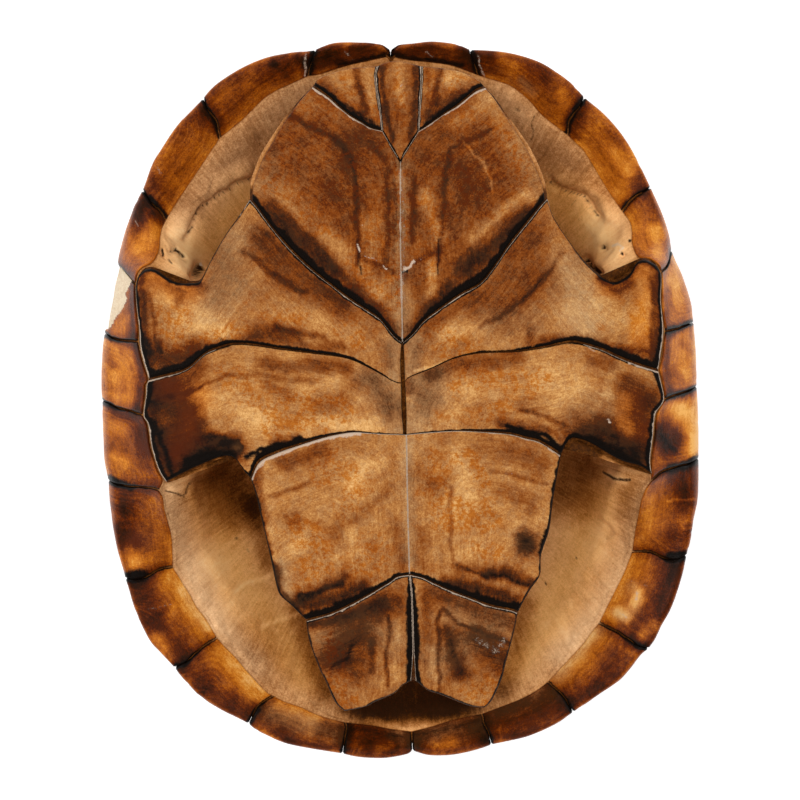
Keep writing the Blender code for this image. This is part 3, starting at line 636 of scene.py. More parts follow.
def brush(spots, line, width):
    """1 on the line, and falling to 0 at this distance from it. A line of one point is a round spot."""
    line = pairs(line)
    line = np.vstack([line, line[-1:] + 1e-4])
    near = ((spots > line.min(0) - width) & (spots < line.max(0) + width)).all(-1)
    amount = np.zeros(spots.shape[:-1])
    if near.any():
        amount[near] = smooth(1 - line_distance(spots[near], line) / width)
    return amount


def inside(spots, outline):
    """1 inside a closed outline and 0 outside it."""
    x, y = spots[..., 0], spots[..., 1]
    within = np.zeros(x.shape, bool)
    for (ax, ay), (bx, by) in zip(outline, outline[1:] + outline[:1]):
        if ay != by:
            within ^= ((ay > y) != (by > y)) & (x < ax + (y - ay) * (bx - ax) / (by - ay))
    return within.astype(float)


def wander(spots, amount):
    """The spots moved a little at random, so that what is drawn on them has uneven edges."""
    x, y = spots[..., 0], spots[..., 1]
    shift = np.stack([cloud(x, y, 9, 5), cloud(x, y, 9, 6)], axis=-1) - 0.5
    return spots + 2 * amount * shift


STAINS = ("tone", "black", "white", "grey", "rust", "amber", "warm")
SHADES = {"dark": 1, "light": -1}


def painted(spots, tone, *drawings):
    """The tone and the amount of each stain at the spots. Strokes darken, lighten or add their stain."""
    amounts = {stain: np.zeros(spots.shape[:-1]) for stain in STAINS}
    amounts["tone"] += tone
    for item in (item for drawing in drawings for item in drawing):
        if isinstance(item, str):
            stain = item
            continue
        strength, width, *line = item
        share = strength * brush(spots, line, width)
        if stain in SHADES:
            amounts["tone"] += SHADES[stain] * share
        else:
            amounts[stain] = 1 - (1 - amounts[stain]) * (1 - share)
    return amounts


# Meshes


def grid_faces(index, flip):
    """Four-cornered faces over a grid of point numbers."""
    faces = np.stack([index[:-1, :-1], index[:-1, 1:], index[1:, 1:], index[1:, :-1]], axis=-1).reshape(-1, 4)
    return faces[:, ::-1] if flip else faces


def looks_inwards(grid):
    """True where the grid's faces, taken row by row, look towards the shell's middle."""
    middle = np.array([0.0, 0.0, 42.0])
    facing = np.cross(np.diff(grid, axis=1)[:-1], np.diff(grid, axis=0)[:, :-1])
    return (facing * (grid[:-1, :-1] - middle)).sum() < 0


def in_fours(values):
    """Up to four values at each point, filled up with noughts to the four numbers that a colour holds."""
    rows = np.stack(values, axis=-1).reshape(-1, len(values))
    return np.pad(rows, ((0, 0), (0, 4 - len(values))))


def add_piece(name, points, faces, amounts, form, finish, node):
    """A mesh piece that stands for a CAD node. Its points keep its stains and its form for its material."""
    mesh = bpy.data.meshes.new(name)
    mesh.from_pydata(points * MM, [], faces)
    mesh.shade_smooth()
    stains = [amounts[stain] for stain in STAINS]
    for label, values in {"stains": stains[:4], "tones": stains[4:], "form": form}.items():
        rows = in_fours(values)
        rows = np.tile(rows, (len(points) // len(rows), 1))
        layer = mesh.attributes.new(label, "FLOAT_COLOR", "POINT")
        layer.data.foreach_set("color", np.ascontiguousarray(rows, np.float32).ravel())
    obj = bpy.data.objects.new(name, mesh)
    obj.data.materials.append(finish)
    bpy.context.scene.collection.objects.link(obj)
    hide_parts(node)
    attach(obj, "root")


def add_plate(name, top, bottom, amounts, form, finish):
    """A closed scute: its outer and inner faces are grids of the same size, joined round their edges."""
    rows, columns = top.shape[:2]
    index = np.arange(rows * columns).reshape(rows, columns)
    under = index + rows * columns
    flip = looks_inwards(top)
    loop = np.concatenate([index[0], index[1:, -1], index[-1, -2::-1], index[-2:0:-1, 0]])
    after = np.roll(loop, -1)
    wall = np.stack([loop, loop + rows * columns, after + rows * columns, after], axis=-1)
    faces = np.vstack([grid_faces(index, flip), grid_faces(under, not flip), wall[:, ::-1] if flip else wall])
    points = np.vstack([top.reshape(-1, 3), bottom.reshape(-1, 3)])
    add_piece(f"{name}_horn", points, faces.tolist(), amounts, form, finish, name)


def edge_distances(grid):
    """How far each point of a grid is from its front, rear, inner and outer edge, walked along the grid."""
    down = np.linalg.norm(np.diff(grid, axis=0), axis=-1)
    over = np.linalg.norm(np.diff(grid, axis=1), axis=-1)
    down = np.vstack([np.zeros((1, grid.shape[1])), np.cumsum(down, axis=0)])
    over = np.hstack([np.zeros((grid.shape[0], 1)), np.cumsum(over, axis=1)])
    return down, down[-1:] - down, over, over[:, -1:] - over


def quarter(distance, radius):
    """1 at an edge, falling as a quarter round to 0 at the radius."""
    return 1 - np.sqrt(1 - (1 - np.clip(distance / radius, 0, 1)) ** 2)


def soft_least(first, second, blend):
    """The smaller of two distances, with the corner between them rounded over the blend."""
    share = np.clip(0.5 + 0.5 * (second - first) / blend, 0, 1)
    return second * (1 - share) + first * share - blend * share * (1 - share)


# What is drawn on each scute: its own tone, 0 pale to 1 black, then each stain's name and after it the
# strength, width and line of each of its strokes

PLASTRON_TONES = {
    "intergular": 0.56, "gular": 0.46, "humeral": 0.67, "pectoral": 0.42, "abdominal": 0.33, "femoral": 0.35,
    "anal": 0.48,
}
PLASTRON_STROKES = {
    "intergular": [
        "dark", (0.4, 6, 382, 66, 382, 90, 385, 115, 392, 140),
        (0.35, 6, 416, 66, 416, 90, 414, 118, 408, 138), "light", (0.25, 9, 399, 64, 399, 84, 401, 100),
        "rust", (0.9, 12, 396, 72, 399, 100, 398, 120), "white", (0.5, 3, 404, 84, 400, 86),
    ],
    "gular_left": [
        "dark", (0.4, 6, 355, 67, 357, 85, 361, 100, 365, 112), (0.3, 15, 322, 90, 342, 106, 365, 124),
        "black", (0.7, 6, 322, 89, 338, 100, 357, 113, 377, 126), "light", (0.15, 14, 335, 78, 347, 76),
        (0.1, 9, 368, 70, 370, 100), "rust", (0.8, 24, 345, 82, 352, 98, 368, 112),
    ],
    "gular_right": [
        "dark", (0.4, 6, 440, 68, 437, 85, 435, 102), (0.2, 8, 429, 70, 427, 112),
        (0.35, 15, 468, 92, 450, 102, 432, 114), "black", (0.7, 6, 478, 86, 462, 96, 445, 107, 424, 122),
        "light", (0.25, 16, 464, 75, 450, 78), (0.12, 7, 433, 75, 432, 95), "rust",
        (0.8, 18, 431, 75, 428, 95, 450, 78, 462, 84),
    ],
    "humeral_left": [
        "rust", (1, 26, 310, 96, 300, 108, 322, 112),
        (1, 60, 300, 120, 300, 160, 325, 190, 372, 180, 380, 240, 375, 290),
        (0.9, 20, 275, 185, 300, 205, 330, 228), "light", (0.1, 20, 262, 160, 254, 182),
        (0.14, 18, 298, 100, 322, 106, 345, 120), (0.2, 24, 262, 185, 285, 200, 305, 215),
        (0.3, 18, 322, 232, 340, 250, 358, 270, 374, 294), (0.12, 12, 400, 175, 400, 240, 401, 330),
        (0.16, 18, 372, 225, 376, 250), (0.22, 20, 385, 285, 396, 312),
        # This thin light line along the seam is a painted highlight on its raised edge
        (0.25, 2.5, 262, 216, 281, 240, 305, 262, 328, 280, 350, 297), "grey",
        (0.9, 13, 400, 164, 400, 240, 401, 300, 402, 330), (0.5, 26, 262, 160, 268, 185), "white",
        (0.42, 4, 400, 168, 401, 230, 400, 300), (1, 2.2, 356, 243, 359, 251), (0.5, 1.8, 364, 255, 374, 259),
        (0.8, 2.2, 382, 266, 386, 270), (0.7, 2.2, 362, 224), "dark",
        (0.15, 26, 348, 150, 352, 205, 335, 190),
        (0.32, 5, 289, 115, 303, 122, 317, 131, 336, 140, 347, 152, 354, 166),
        (0.3, 4.5, 354, 166, 356, 191, 356, 225, 357, 264), (0.25, 6, 386, 170, 388, 235, 385, 262),
        (0.2, 7, 370, 142, 384, 160), (0.15, 4, 394, 180, 394, 250),
        (0.36, 16, 268, 209, 290, 231, 312, 251, 334, 270), (0.12, 5, 270, 200, 296, 224, 322, 250, 345, 278),
        (0.3, 14, 352, 290, 372, 308, 390, 326), (0.2, 4, 360, 256, 376, 264, 392, 272), "black",
        (0.9, 5, 252, 200, 272, 226, 290, 247, 310, 266, 330, 283, 350, 298, 372, 313, 388, 328),
        (0.6, 3.5, 355, 238, 359, 256, 360, 274),
    ],
    "humeral_right": [
        "light", (0.26, 34, 498, 100, 522, 140, 542, 185), (0.22, 16, 487, 98, 470, 112, 455, 120),
        (0.3, 14, 424, 195, 434, 222, 440, 236), (0.35, 12, 431, 262, 431, 292),
        (0.34, 15, 476, 238, 494, 222, 514, 206, 526, 196), (0.22, 14, 405, 290, 410, 320),
        # The thin light line at 537, 212 along the seam is a painted highlight on its raised edge
        (0.1, 10, 403, 175, 403, 240), (0.25, 2.5, 537, 212, 517, 238, 497, 262, 477, 281, 452, 297),
        (0.3, 2.5, 452, 150, 462, 141, 480, 160, 490, 178, 492, 192), "grey",
        (0.9, 12, 402, 164, 402, 240, 402, 300, 403, 330), (0.4, 30, 536, 175, 520, 145), "white",
        (0.4, 4, 402, 168, 402, 230, 403, 300), (1, 4, 404, 270, 410, 267, 414, 262),
        (0.4, 1.8, 420, 260, 428, 254), "dark",
        (0.3, 5, 490, 128, 478, 136, 460, 142, 450, 150, 446, 170, 443, 200, 440, 240, 438, 262),
        (0.16, 22, 462, 175, 475, 200, 482, 188), (0.12, 24, 445, 140, 432, 160),
        (0.22, 6, 414, 175, 412, 240), (0.38, 17, 526, 212, 507, 230, 488, 248, 466, 268),
        (0.12, 5, 510, 216, 486, 232, 462, 254, 452, 276), (0.3, 12, 448, 288, 430, 308, 414, 326),
        (0.2, 4, 414, 264, 432, 252), "black",
        (0.9, 5, 544, 200, 522, 228, 502, 253, 482, 275, 456, 292, 436, 306, 418, 325),
        (0.9, 3.5, 398, 273, 406, 272), (0.6, 4, 439, 238, 438, 272), "rust",
        (1, 56, 470, 130, 470, 180, 430, 180, 425, 250), (0.7, 22, 500, 128, 520, 170, 500, 205),
        (1, 6, 492, 205, 480, 218, 468, 226),
    ],
    "pectoral_left": [
        "dark", (0.32, 24, 264, 240, 287, 264, 314, 288, 340, 305), (0.12, 16, 254, 230, 262, 250, 280, 280),
        (0.15, 5, 262, 228, 278, 247, 301, 268, 326, 290, 345, 303),
        (0.28, 6, 244, 250, 260, 264, 280, 281, 305, 292), (0.1, 30, 218, 260, 222, 285),
        (0.38, 18, 254, 336, 272, 333, 292, 336), (0.3, 6, 275, 328, 297, 331, 320, 336, 342, 348),
        (0.3, 10, 300, 345, 330, 350), (0.5, 24, 146, 348, 160, 360, 182, 358, 196, 352),
        (0.25, 12, 212, 348, 240, 342), (0.45, 8, 142, 292, 143, 326, 147, 352),
        (0.3, 4, 149, 294, 152, 313, 156, 341, 160, 352), (0.3, 8, 168, 282, 182, 294, 178, 304),
        (0.25, 12, 188, 278, 200, 286),
        # This dark stroke and the first black one, on the axilla's edge, are a painted shadow line beyond it
        (0.4, 6, 139, 282, 143, 271, 151, 267, 160, 270, 168, 277, 183, 283, 197, 281),
        (0.12, 8, 388, 346, 388, 366), "light", (0.25, 26, 180, 318, 200, 322, 222, 330),
        (0.2, 12, 156, 296, 166, 300), (0.12, 22, 240, 302, 258, 312, 312, 314),
        (0.1, 20, 330, 320, 370, 345), (0.15, 9, 172, 283, 176, 276), "amber",
        (0.9, 30, 146, 274, 160, 276, 180, 290, 188, 284), "rust",
        (1, 22, 168, 314, 184, 318, 165, 335, 172, 345, 200, 340), (0.6, 30, 285, 322, 320, 330, 350, 335),
        (0.8, 16, 215, 335, 240, 328), "grey", (0.9, 34, 234, 236, 226, 262, 214, 300, 236, 285),
        (1, 16, 392, 340, 393, 356, 394, 376), "black", (0.7, 4, 170, 278, 183, 282, 197, 281),
        (0.9, 8, 163, 371, 180, 366, 196, 358, 210, 351), (0.6, 3, 217, 313), (0.6, 2.5, 236, 313),
        (0.7, 3, 221, 338),
    ],
    "pectoral_right": [
        "dark", (0.28, 26, 532, 236, 515, 262, 498, 286, 482, 302), (0.3, 26, 540, 276, 520, 300, 505, 318),
        (0.28, 5, 562, 252, 545, 276, 524, 297, 498, 317, 480, 327), (0.2, 14, 470, 295, 448, 312, 425, 330),
        (0.5, 14, 545, 343, 575, 344, 600, 347, 622, 356), (0.3, 12, 622, 350, 645, 352),
        (0.3, 9, 528, 330, 530, 342), (0.5, 8, 657, 276, 658, 310, 656, 340, 654, 362),
        (0.3, 4, 649, 276, 653, 290, 651, 325, 649, 356), (0.3, 8, 604, 282, 618, 290, 632, 282),
        # This dark stroke and the first black one, on the axilla's edge, are a painted shadow line beyond it
        (0.4, 6, 600, 276, 612, 281, 624, 279, 632, 270, 640, 262, 650, 262, 658, 270),
        (0.12, 8, 418, 346, 417, 366), "light", (0.26, 30, 570, 318, 600, 318, 636, 320),
        (0.15, 22, 560, 262, 580, 285, 595, 298), (0.22, 14, 445, 332, 475, 328),
        (0.1, 12, 480, 344, 505, 342), (0.15, 12, 646, 292, 642, 300),
        # This thin light line along the seam is a painted highlight on its raised edge
        (0.3, 2.5, 415, 371, 444, 363, 468, 358), "amber",
        (0.9, 24, 610, 285, 630, 275, 646, 268, 646, 300, 640, 345), "rust",
        (0.9, 16, 640, 310, 642, 340, 632, 350), (0.7, 26, 440, 352, 470, 350, 430, 330),
        (0.5, 24, 500, 300, 520, 280), "grey", (0.9, 36, 572, 270, 580, 310, 585, 330),
        (0.5, 26, 490, 320, 530, 320), (1, 16, 414, 340, 414, 356, 412, 376), "black",
        (0.7, 4, 600, 276, 612, 281, 626, 278),
        (0.95, 7, 540, 346, 560, 342, 581, 341, 603, 347, 617, 352, 642, 361, 655, 366),
    ],
    "abdominal_left": [
        "dark", (0.65, 34, 158, 392, 170, 402, 180, 420, 180, 445), (0.45, 18, 172, 380, 190, 376, 198, 366),
        (0.25, 14, 190, 400, 200, 420), (0.4, 16, 152, 388, 150, 412, 158, 445),
        (0.35, 16, 202, 430, 215, 440, 235, 442), (0.35, 14, 262, 362, 285, 366, 315, 364, 345, 366),
        (0.25, 5, 204, 384, 227, 376, 254, 374, 279, 378, 310, 382), (0.2, 14, 268, 385, 285, 392),
        (0.16, 14, 320, 405, 345, 400, 352, 385), (0.3, 8, 272, 442, 295, 438),
        # Dark strokes at 202, 448 and 176, 458 and black at 186, 463: painted shade along the groin edge
        (0.33, 24, 370, 378, 384, 394, 392, 410), (0.8, 18, 202, 448, 216, 446, 228, 450),
        (0.5, 26, 176, 458, 200, 450, 232, 452), (0.4, 20, 156, 440, 164, 460, 172, 476),
        (0.4, 4, 164, 397, 183, 393, 202, 386),
        (0.5, 3, 234, 442, 237, 440, 241, 445, 237, 450, 233, 446, 234, 442), "light",
        (0.16, 22, 222, 398, 242, 410, 262, 420), (0.2, 16, 302, 426, 325, 424, 350, 424, 375, 424),
        (0.14, 12, 304, 390, 335, 378), "amber", (1, 24, 186, 436, 176, 455, 200, 395, 165, 385), "rust",
        (1, 26, 268, 424, 290, 418, 315, 410, 340, 410), (0.7, 26, 250, 395, 290, 398, 230, 380), "grey",
        (1, 20, 366, 376, 380, 390, 388, 410), (1, 20, 378, 376, 394, 392, 398, 425), (1, 9, 237, 445),
        "black", (0.9, 15, 186, 463, 208, 454, 230, 454), (0.8, 7, 152, 422, 158, 436, 166, 455, 172, 472),
        (0.9, 6, 246, 456, 273, 445, 300, 438), "white", (0.95, 2.8, 149, 379, 162, 376, 176, 372),
    ],
    "abdominal_right": [
        # Dark at 580, 438 and black at 576, 440: painted shade along the groin edge
        "dark", (0.35, 16, 430, 372, 455, 364, 490, 360, 515, 356), (0.3, 9, 408, 392, 408, 372),
        (0.3, 12, 590, 358, 612, 362), (0.45, 20, 626, 384, 640, 390, 652, 396),
        (0.5, 26, 640, 412, 644, 436, 628, 450), (0.3, 16, 612, 406, 612, 436), (0.2, 20, 585, 412, 560, 425),
        (0.3, 16, 600, 425, 585, 430), (0.15, 16, 470, 424, 500, 418), (0.15, 12, 520, 402, 530, 410),
        (0.3, 4, 521, 408, 545, 416, 563, 426), (0.2, 4, 530, 420, 548, 428, 560, 440),
        (0.25, 28, 426, 380, 426, 402), (0.6, 30, 580, 438, 596, 438, 614, 450, 636, 462),
        (0.4, 9, 500, 424, 520, 426, 545, 432), "light", (0.18, 28, 545, 378, 575, 384, 560, 390),
        # The light stroke at 606, 392 is a painted highlight
        (0.12, 16, 470, 392, 490, 390), (0.14, 10, 606, 392, 612, 410), "amber",
        (1, 24, 632, 400, 628, 420, 644, 430), "rust", (0.9, 24, 455, 385, 480, 372, 515, 378, 540, 380),
        (0.7, 20, 440, 415, 480, 420, 515, 400), "grey", (1, 22, 416, 380, 418, 400, 412, 425),
        (1, 22, 436, 374, 434, 396, 424, 412), (0.5, 30, 578, 415, 600, 410), "black",
        (0.9, 15, 576, 440, 592, 440, 612, 452, 634, 464), (0.95, 6, 506, 425, 522, 430, 546, 435, 559, 446),
        # The short white dash at 607, 420 is a painted glint of highlight
        "white", (0.8, 2.5, 607, 420, 609, 423), (0.95, 2.6, 628, 362, 642, 366, 658, 370),
        (0.5, 3, 588, 347, 596, 350),
    ],
    "femoral_left": [
        "dark", (0.3, 14, 282, 461, 302, 458, 322, 452), (0.3, 10, 254, 466, 258, 500, 264, 520),
        (0.26, 4.5, 270, 497, 289, 489, 309, 482), (0.2, 14, 282, 516, 296, 522),
        (0.15, 14, 335, 532, 345, 514), (0.18, 9, 352, 520, 370, 504, 390, 486),
        (0.22, 12, 396, 530, 402, 560, 402, 575), (0.35, 8, 275, 568, 278, 582),
        (0.4, 12, 300, 595, 322, 588, 345, 578), (0.65, 14, 292, 604, 315, 604, 340, 598, 362, 586),
        (0.5, 5, 300, 598, 321, 591, 340, 583), (0.5, 5, 262, 524, 269, 555, 276, 584, 290, 604, 304, 618),
        "light", (0.18, 18, 352, 488, 362, 468, 378, 460), (0.12, 7, 407, 442, 408, 500, 409, 540),
        (0.16, 12, 350, 532, 358, 550, 340, 556), (0.15, 12, 288, 550, 302, 538),
        (0.1, 20, 270, 530, 276, 500), "grey", (0.8, 12, 407, 442, 408, 500, 409, 560),
        (1, 14, 280, 566, 284, 580, 284, 596), "rust", (1, 30, 300, 530, 315, 550, 310, 575),
        (0.8, 34, 330, 470, 355, 480, 345, 510), (0.5, 30, 375, 540, 360, 570), "white",
        (0.9, 5, 254, 463, 273, 454, 292, 447, 311, 441, 340, 435, 359, 433), (0.7, 3, 254, 470, 262, 463),
        "black", (0.9, 5, 251, 480, 256, 500, 262, 524),
    ],
    "femoral_right": [
        "light", (0.12, 26, 456, 500, 462, 550, 482, 535), (0.16, 16, 452, 456, 464, 474, 466, 492),
        (0.12, 14, 520, 520, 500, 552), "grey", (0.8, 10, 408, 442, 409, 500, 410, 560),
        (1, 22, 524, 541, 526, 543), "dark", (0.18, 18, 418, 475, 436, 486),
        (0.2, 20, 480, 448, 510, 452, 540, 462), (0.28, 4, 450, 486, 450, 545, 453, 563, 469, 570, 486, 577),
        (0.2, 14, 500, 490, 530, 500, 532, 512), (0.22, 4, 490, 470, 513, 473, 547, 484),
        (0.16, 12, 422, 530, 420, 565), (0.7, 20, 524, 541, 526, 543),
        (0.6, 12, 488, 572, 508, 574, 530, 583), (0.65, 14, 448, 583, 480, 590, 515, 599),
        (0.3, 12, 460, 568, 485, 572), "white", (0.35, 2, 496, 471, 513, 473), "black",
        (0.55, 20, 524, 541, 526, 543), (0.7, 5, 492, 574, 508, 577, 528, 585),
        (0.9, 5, 557, 470, 553, 500, 549, 530), (1, 8, 548, 532, 542, 552), "rust",
        (1, 20, 460, 452, 478, 462, 480, 478), (1, 18, 460, 508, 480, 520, 494, 518),
        (0.7, 26, 500, 500, 440, 520, 430, 460), (0.6, 20, 500, 555, 470, 550),
    ],
    "anal_left": [
        "light", (0.08, 18, 345, 702, 372, 692, 392, 676), (0.1, 12, 384, 625, 398, 610),
        (0.12, 6, 396, 620, 395, 680), "dark", (0.42, 28, 330, 656, 346, 650, 360, 642),
        (0.28, 16, 342, 662, 355, 676), (0.35, 12, 312, 624, 345, 616, 380, 602),
        (0.3, 26, 345, 626, 372, 616, 396, 604), (0.25, 4, 309, 625, 330, 622, 358, 612),
        (0.35, 4, 388, 616, 387, 650, 386, 684), (0.3, 6, 372, 640, 370, 672), "rust",
        (1, 16, 334, 686, 350, 700, 330, 640), "grey", (0.6, 26, 320, 640, 360, 625, 396, 640), "black",
        (0.6, 6, 332, 668, 345, 658, 352, 645), (0.4, 9, 338, 650, 354, 640),
    ],
    "anal_right": [
        "light", (0.15, 9, 431, 600, 432, 650, 436, 686), (0.15, 16, 460, 686, 480, 700, 496, 690), "dark",
        (0.4, 4, 438, 612, 438, 650, 439, 690), (0.35, 4, 440, 608, 458, 624, 488, 635, 508, 642),
        (0.5, 14, 448, 632, 453, 655, 460, 674), (0.45, 26, 474, 634, 490, 646, 500, 656),
        (0.35, 14, 440, 596, 470, 606, 512, 622), (0.3, 12, 427, 590, 428, 640), "rust",
        (1, 16, 470, 690, 482, 696, 492, 684), "grey", (0.8, 26, 455, 615, 500, 625, 434, 660), "white",
        (0.4, 9, 478, 640, 495, 650, 503, 640), "black", (0.5, 7, 450, 640, 455, 655, 459, 668),
        (0.5, 10, 474, 640, 492, 654),
    ],
}

# The rim's scutes: the tones at the outer and the inner edge of each, from head to tail, then what is drawn
RIM_TONES = {
    "right": [
        (0.9, 0.82), (0.74, 0.62), (0.54, 0.44), (0.48, 0.4), (0.3, 0.34), (0.25, 0.38),
        (0.3, 0.42), (0.8, 0.5), (0.92, 0.32), (0.86, 0.3), (0.8, 0.9), (0.85, 0.9),
    ],
    "left": [
        (0.9, 0.82), (0.68, 0.62), (0.6, 0.5), (0.62, 0.52), (0.45, 0.42), (0.36, 0.42),
        (0.44, 0.55), (0.68, 0.54), (0.9, 0.32), (0.84, 0.28), (0.68, 0.4), (0.9, 1.0),
    ],
}
RIM_STROKES = {
    "left_1": [
        "black", (0.8, 9, 338, 62, 358, 60, 381, 53, 389, 50), "light", (0.3, 10, 328, 44, 345, 43),
        (0.15, 8, 318, 70, 326, 68), "white", (0.5, 2.5, 345, 51, 352, 57),
    ],
    "left_2": [
        "white", (0.7, 2.6, 305, 54, 304, 64, 304, 74), "dark", (0.3, 9, 296, 57, 303, 62),
        (0.35, 8, 273, 64), (0.2, 14, 262, 75, 285, 70), "amber", (0.9, 22, 225, 95, 250, 80), "light",
        (0.12, 12, 232, 84, 220, 100),
    ],
    "left_3": [
        "dark", (0.12, 10, 206, 114, 212, 126), (0.15, 10, 188, 115, 179, 128), "light",
        (0.2, 10, 170, 145, 158, 168), "amber", (0.9, 22, 190, 160, 170, 178), "white",
        (0.45, 3, 158, 168, 160, 174), "grey", (0.8, 6, 207, 98),
    ],
    "left_4": [
        "dark", (0.22, 12, 142, 204, 138, 212, 136, 228), (0.3, 7, 152, 214, 160, 222), "light",
        (0.2, 14, 150, 232, 140, 250), "amber", (1, 24, 152, 236, 140, 255, 125, 245), "white",
        (0.6, 2.2, 134, 219, 137, 226),
    ],
    "left_5": [
        "dark", (0.35, 9, 132, 290, 134, 312, 134, 336), "light", (0.15, 10, 124, 318, 118, 330), "amber",
        (0.9, 16, 122, 325, 112, 332), "grey", (0.8, 7, 120, 265, 128, 274, 135, 282),
    ],
    "left_6": [
        "dark", (0.4, 9, 136, 345, 141, 365, 141, 385, 138, 408), (0.2, 9, 108, 352, 112, 365), "light",
        (0.18, 12, 112, 376, 114, 395), (0.1, 8, 128, 360, 128, 392), "amber",
        (1, 22, 118, 350, 122, 372, 124, 395),
    ],
    "left_7": [
        "amber", (0.9, 22, 118, 425, 120, 455, 140, 450), "dark", (0.3, 16, 140, 430, 146, 450),
        (0.3, 9, 112, 412, 130, 418), "light", (0.3, 11, 113, 455, 124, 462),
    ],
    "left_8": [
        "dark", (0.2, 18, 124, 500, 118, 518, 122, 535), "light", (0.3, 14, 128, 550, 134, 562),
        (0.25, 7, 114, 500, 116, 520), "amber", (0.9, 22, 150, 530, 135, 550, 160, 545),
    ],
    "left_9": [
        "dark", (0.15, 20, 150, 600, 160, 620), "light", (0.5, 14, 158, 640, 170, 656),
        (0.15, 10, 180, 590, 190, 612, 205, 626), "amber", (0.8, 14, 158, 640, 170, 656),
        (0.5, 18, 170, 584, 180, 606, 195, 625), "grey", (0.4, 10, 186, 596, 206, 626), "white",
        (0.4, 2.5, 148, 608, 160, 606, 170, 604),
    ],
    "left_10": [
        "dark", (0.1, 20, 198, 672, 225, 692), "light", (0.15, 12, 230, 664, 250, 684),
        (0.15, 7, 240, 690, 262, 702), "amber", (0.8, 14, 215, 655, 235, 680),
    ],
    "left_11": [
        "dark", (0.4, 16, 326, 726, 338, 730, 342, 742), (0.25, 14, 262, 712, 278, 730),
        (0.25, 7, 285, 742, 330, 748), "light", (0.1, 12, 290, 714, 312, 724), "rust",
        (0.7, 8, 280, 730, 310, 736, 335, 738), "grey", (0.8, 18, 266, 712, 300, 724, 338, 734),
    ],
    "left_12": [
        "black", (0.5, 7, 346, 727, 372, 731, 400, 737), "light", (0.3, 10, 400, 735, 404, 745),
        (0.25, 8, 376, 750, 390, 746), "amber", (1, 10, 376, 748, 386, 744), "grey",
        (0.8, 16, 395, 732, 410, 740),
    ],
    "right_1": [
        "black", (0.8, 9, 392, 50, 410, 57, 440, 60, 460, 64), "light", (0.2, 9, 404, 44, 420, 43, 452, 46),
        "white", (0.5, 2.5, 425, 50, 433, 55),
    ],
    "right_2": [
        "white", (0.6, 2.6, 477, 56, 481, 66, 483, 76), "light", (0.2, 12, 500, 60, 512, 66),
        (0.15, 12, 556, 84, 566, 100), "grey", (0.6, 7, 521, 79, 534, 92), "amber",
        (0.8, 22, 540, 100, 560, 104),
    ],
    "right_3": [
        "dark", (0.3, 12, 578, 116, 574, 136), "light", (0.2, 12, 612, 150, 630, 172),
        (0.15, 8, 618, 190, 628, 194), "amber", (0.9, 28, 600, 150, 620, 180),
    ],
    "right_4": [
        "dark", (0.3, 14, 650, 200, 652, 218), (0.25, 6, 656, 206, 663, 224), "light",
        (0.3, 12, 655, 232, 658, 250), "amber", (1, 26, 640, 225, 655, 250), "grey",
        (0.8, 7, 645, 187, 640, 191),
    ],
    "right_5": [
        "amber", (0.9, 22, 680, 285, 676, 300, 684, 312), "dark", (0.3, 8, 668, 290, 666, 318),
        (0.2, 7, 683, 275, 690, 300), "light", (0.15, 9, 672, 280, 674, 296), "grey",
        (0.8, 7, 671, 254, 666, 264, 661, 272),
    ],
    "right_6": [
        "amber", (1, 20, 680, 340, 682, 365, 676, 380), "light", (0.2, 12, 684, 366, 688, 378),
        (0.12, 10, 674, 345, 676, 358), "dark", (0.35, 8, 667, 335, 664, 365, 669, 390),
        (0.2, 7, 684, 344, 690, 352),
    ],
    "right_7": [
        "dark", (0.7, 22, 662, 434, 670, 444, 676, 438), "black", (0.7, 8, 663, 436, 668, 446, 674, 450),
        "amber", (1, 22, 676, 405, 690, 425, 688, 448), "light", (0.25, 16, 676, 405, 690, 418, 694, 446),
        (0.3, 6, 693, 436, 693, 455), "rust", (1, 12, 668, 432, 676, 452),
    ],
    "right_8": [
        "dark", (0.2, 18, 675, 482, 684, 500), "amber", (0.9, 22, 660, 490, 655, 520, 660, 545), "light",
        (0.12, 12, 650, 500, 648, 530), (0.3, 2.5, 667, 501, 680, 500, 694, 499),
        (0.15, 10, 684, 520, 682, 540),
    ],
    "right_9": [
        "dark", (0.15, 18, 672, 575, 660, 598), "light", (0.45, 12, 652, 624, 642, 636),
        (0.4, 9, 637, 590, 634, 602), (0.4, 9, 618, 612, 627, 618), (0.2, 12, 628, 612, 640, 600), "amber",
        (0.9, 16, 640, 570, 640, 590, 625, 605), "grey", (1, 14, 636, 588, 632, 604, 622, 614), "white",
        (0.6, 4, 636, 592, 635, 600), (0.5, 3, 620, 613, 626, 617), (0.4, 2, 628, 580, 646, 586),
    ],
    "right_10": [
        "light", (0.25, 14, 634, 650, 622, 664), (0.12, 12, 592, 638, 565, 668), (0.2, 7, 620, 645, 632, 652),
        "dark", (0.1, 20, 612, 668, 596, 690), "amber", (0.8, 12, 600, 645, 578, 668), "grey",
        (0.7, 16, 596, 630, 575, 655, 556, 674),
    ],
    "right_11": [
        "dark", (0.2, 12, 500, 710, 525, 702), "light", (0.15, 8, 500, 730, 530, 726, 555, 716), "rust",
        (0.8, 8, 500, 724, 530, 718, 552, 708), "grey", (0.8, 18, 496, 712, 525, 702, 552, 690),
    ],
    "right_12": [
        "black", (0.45, 7, 418, 736, 445, 730, 478, 722), "light", (0.3, 12, 436, 744, 452, 742), "amber",
        (1, 12, 446, 742, 452, 740), "grey", (0.8, 16, 425, 732, 414, 742),
        (0.8, 18, 436, 732, 460, 728, 484, 722), "dark", (0.15, 14, 470, 728, 484, 735),
    ],
}

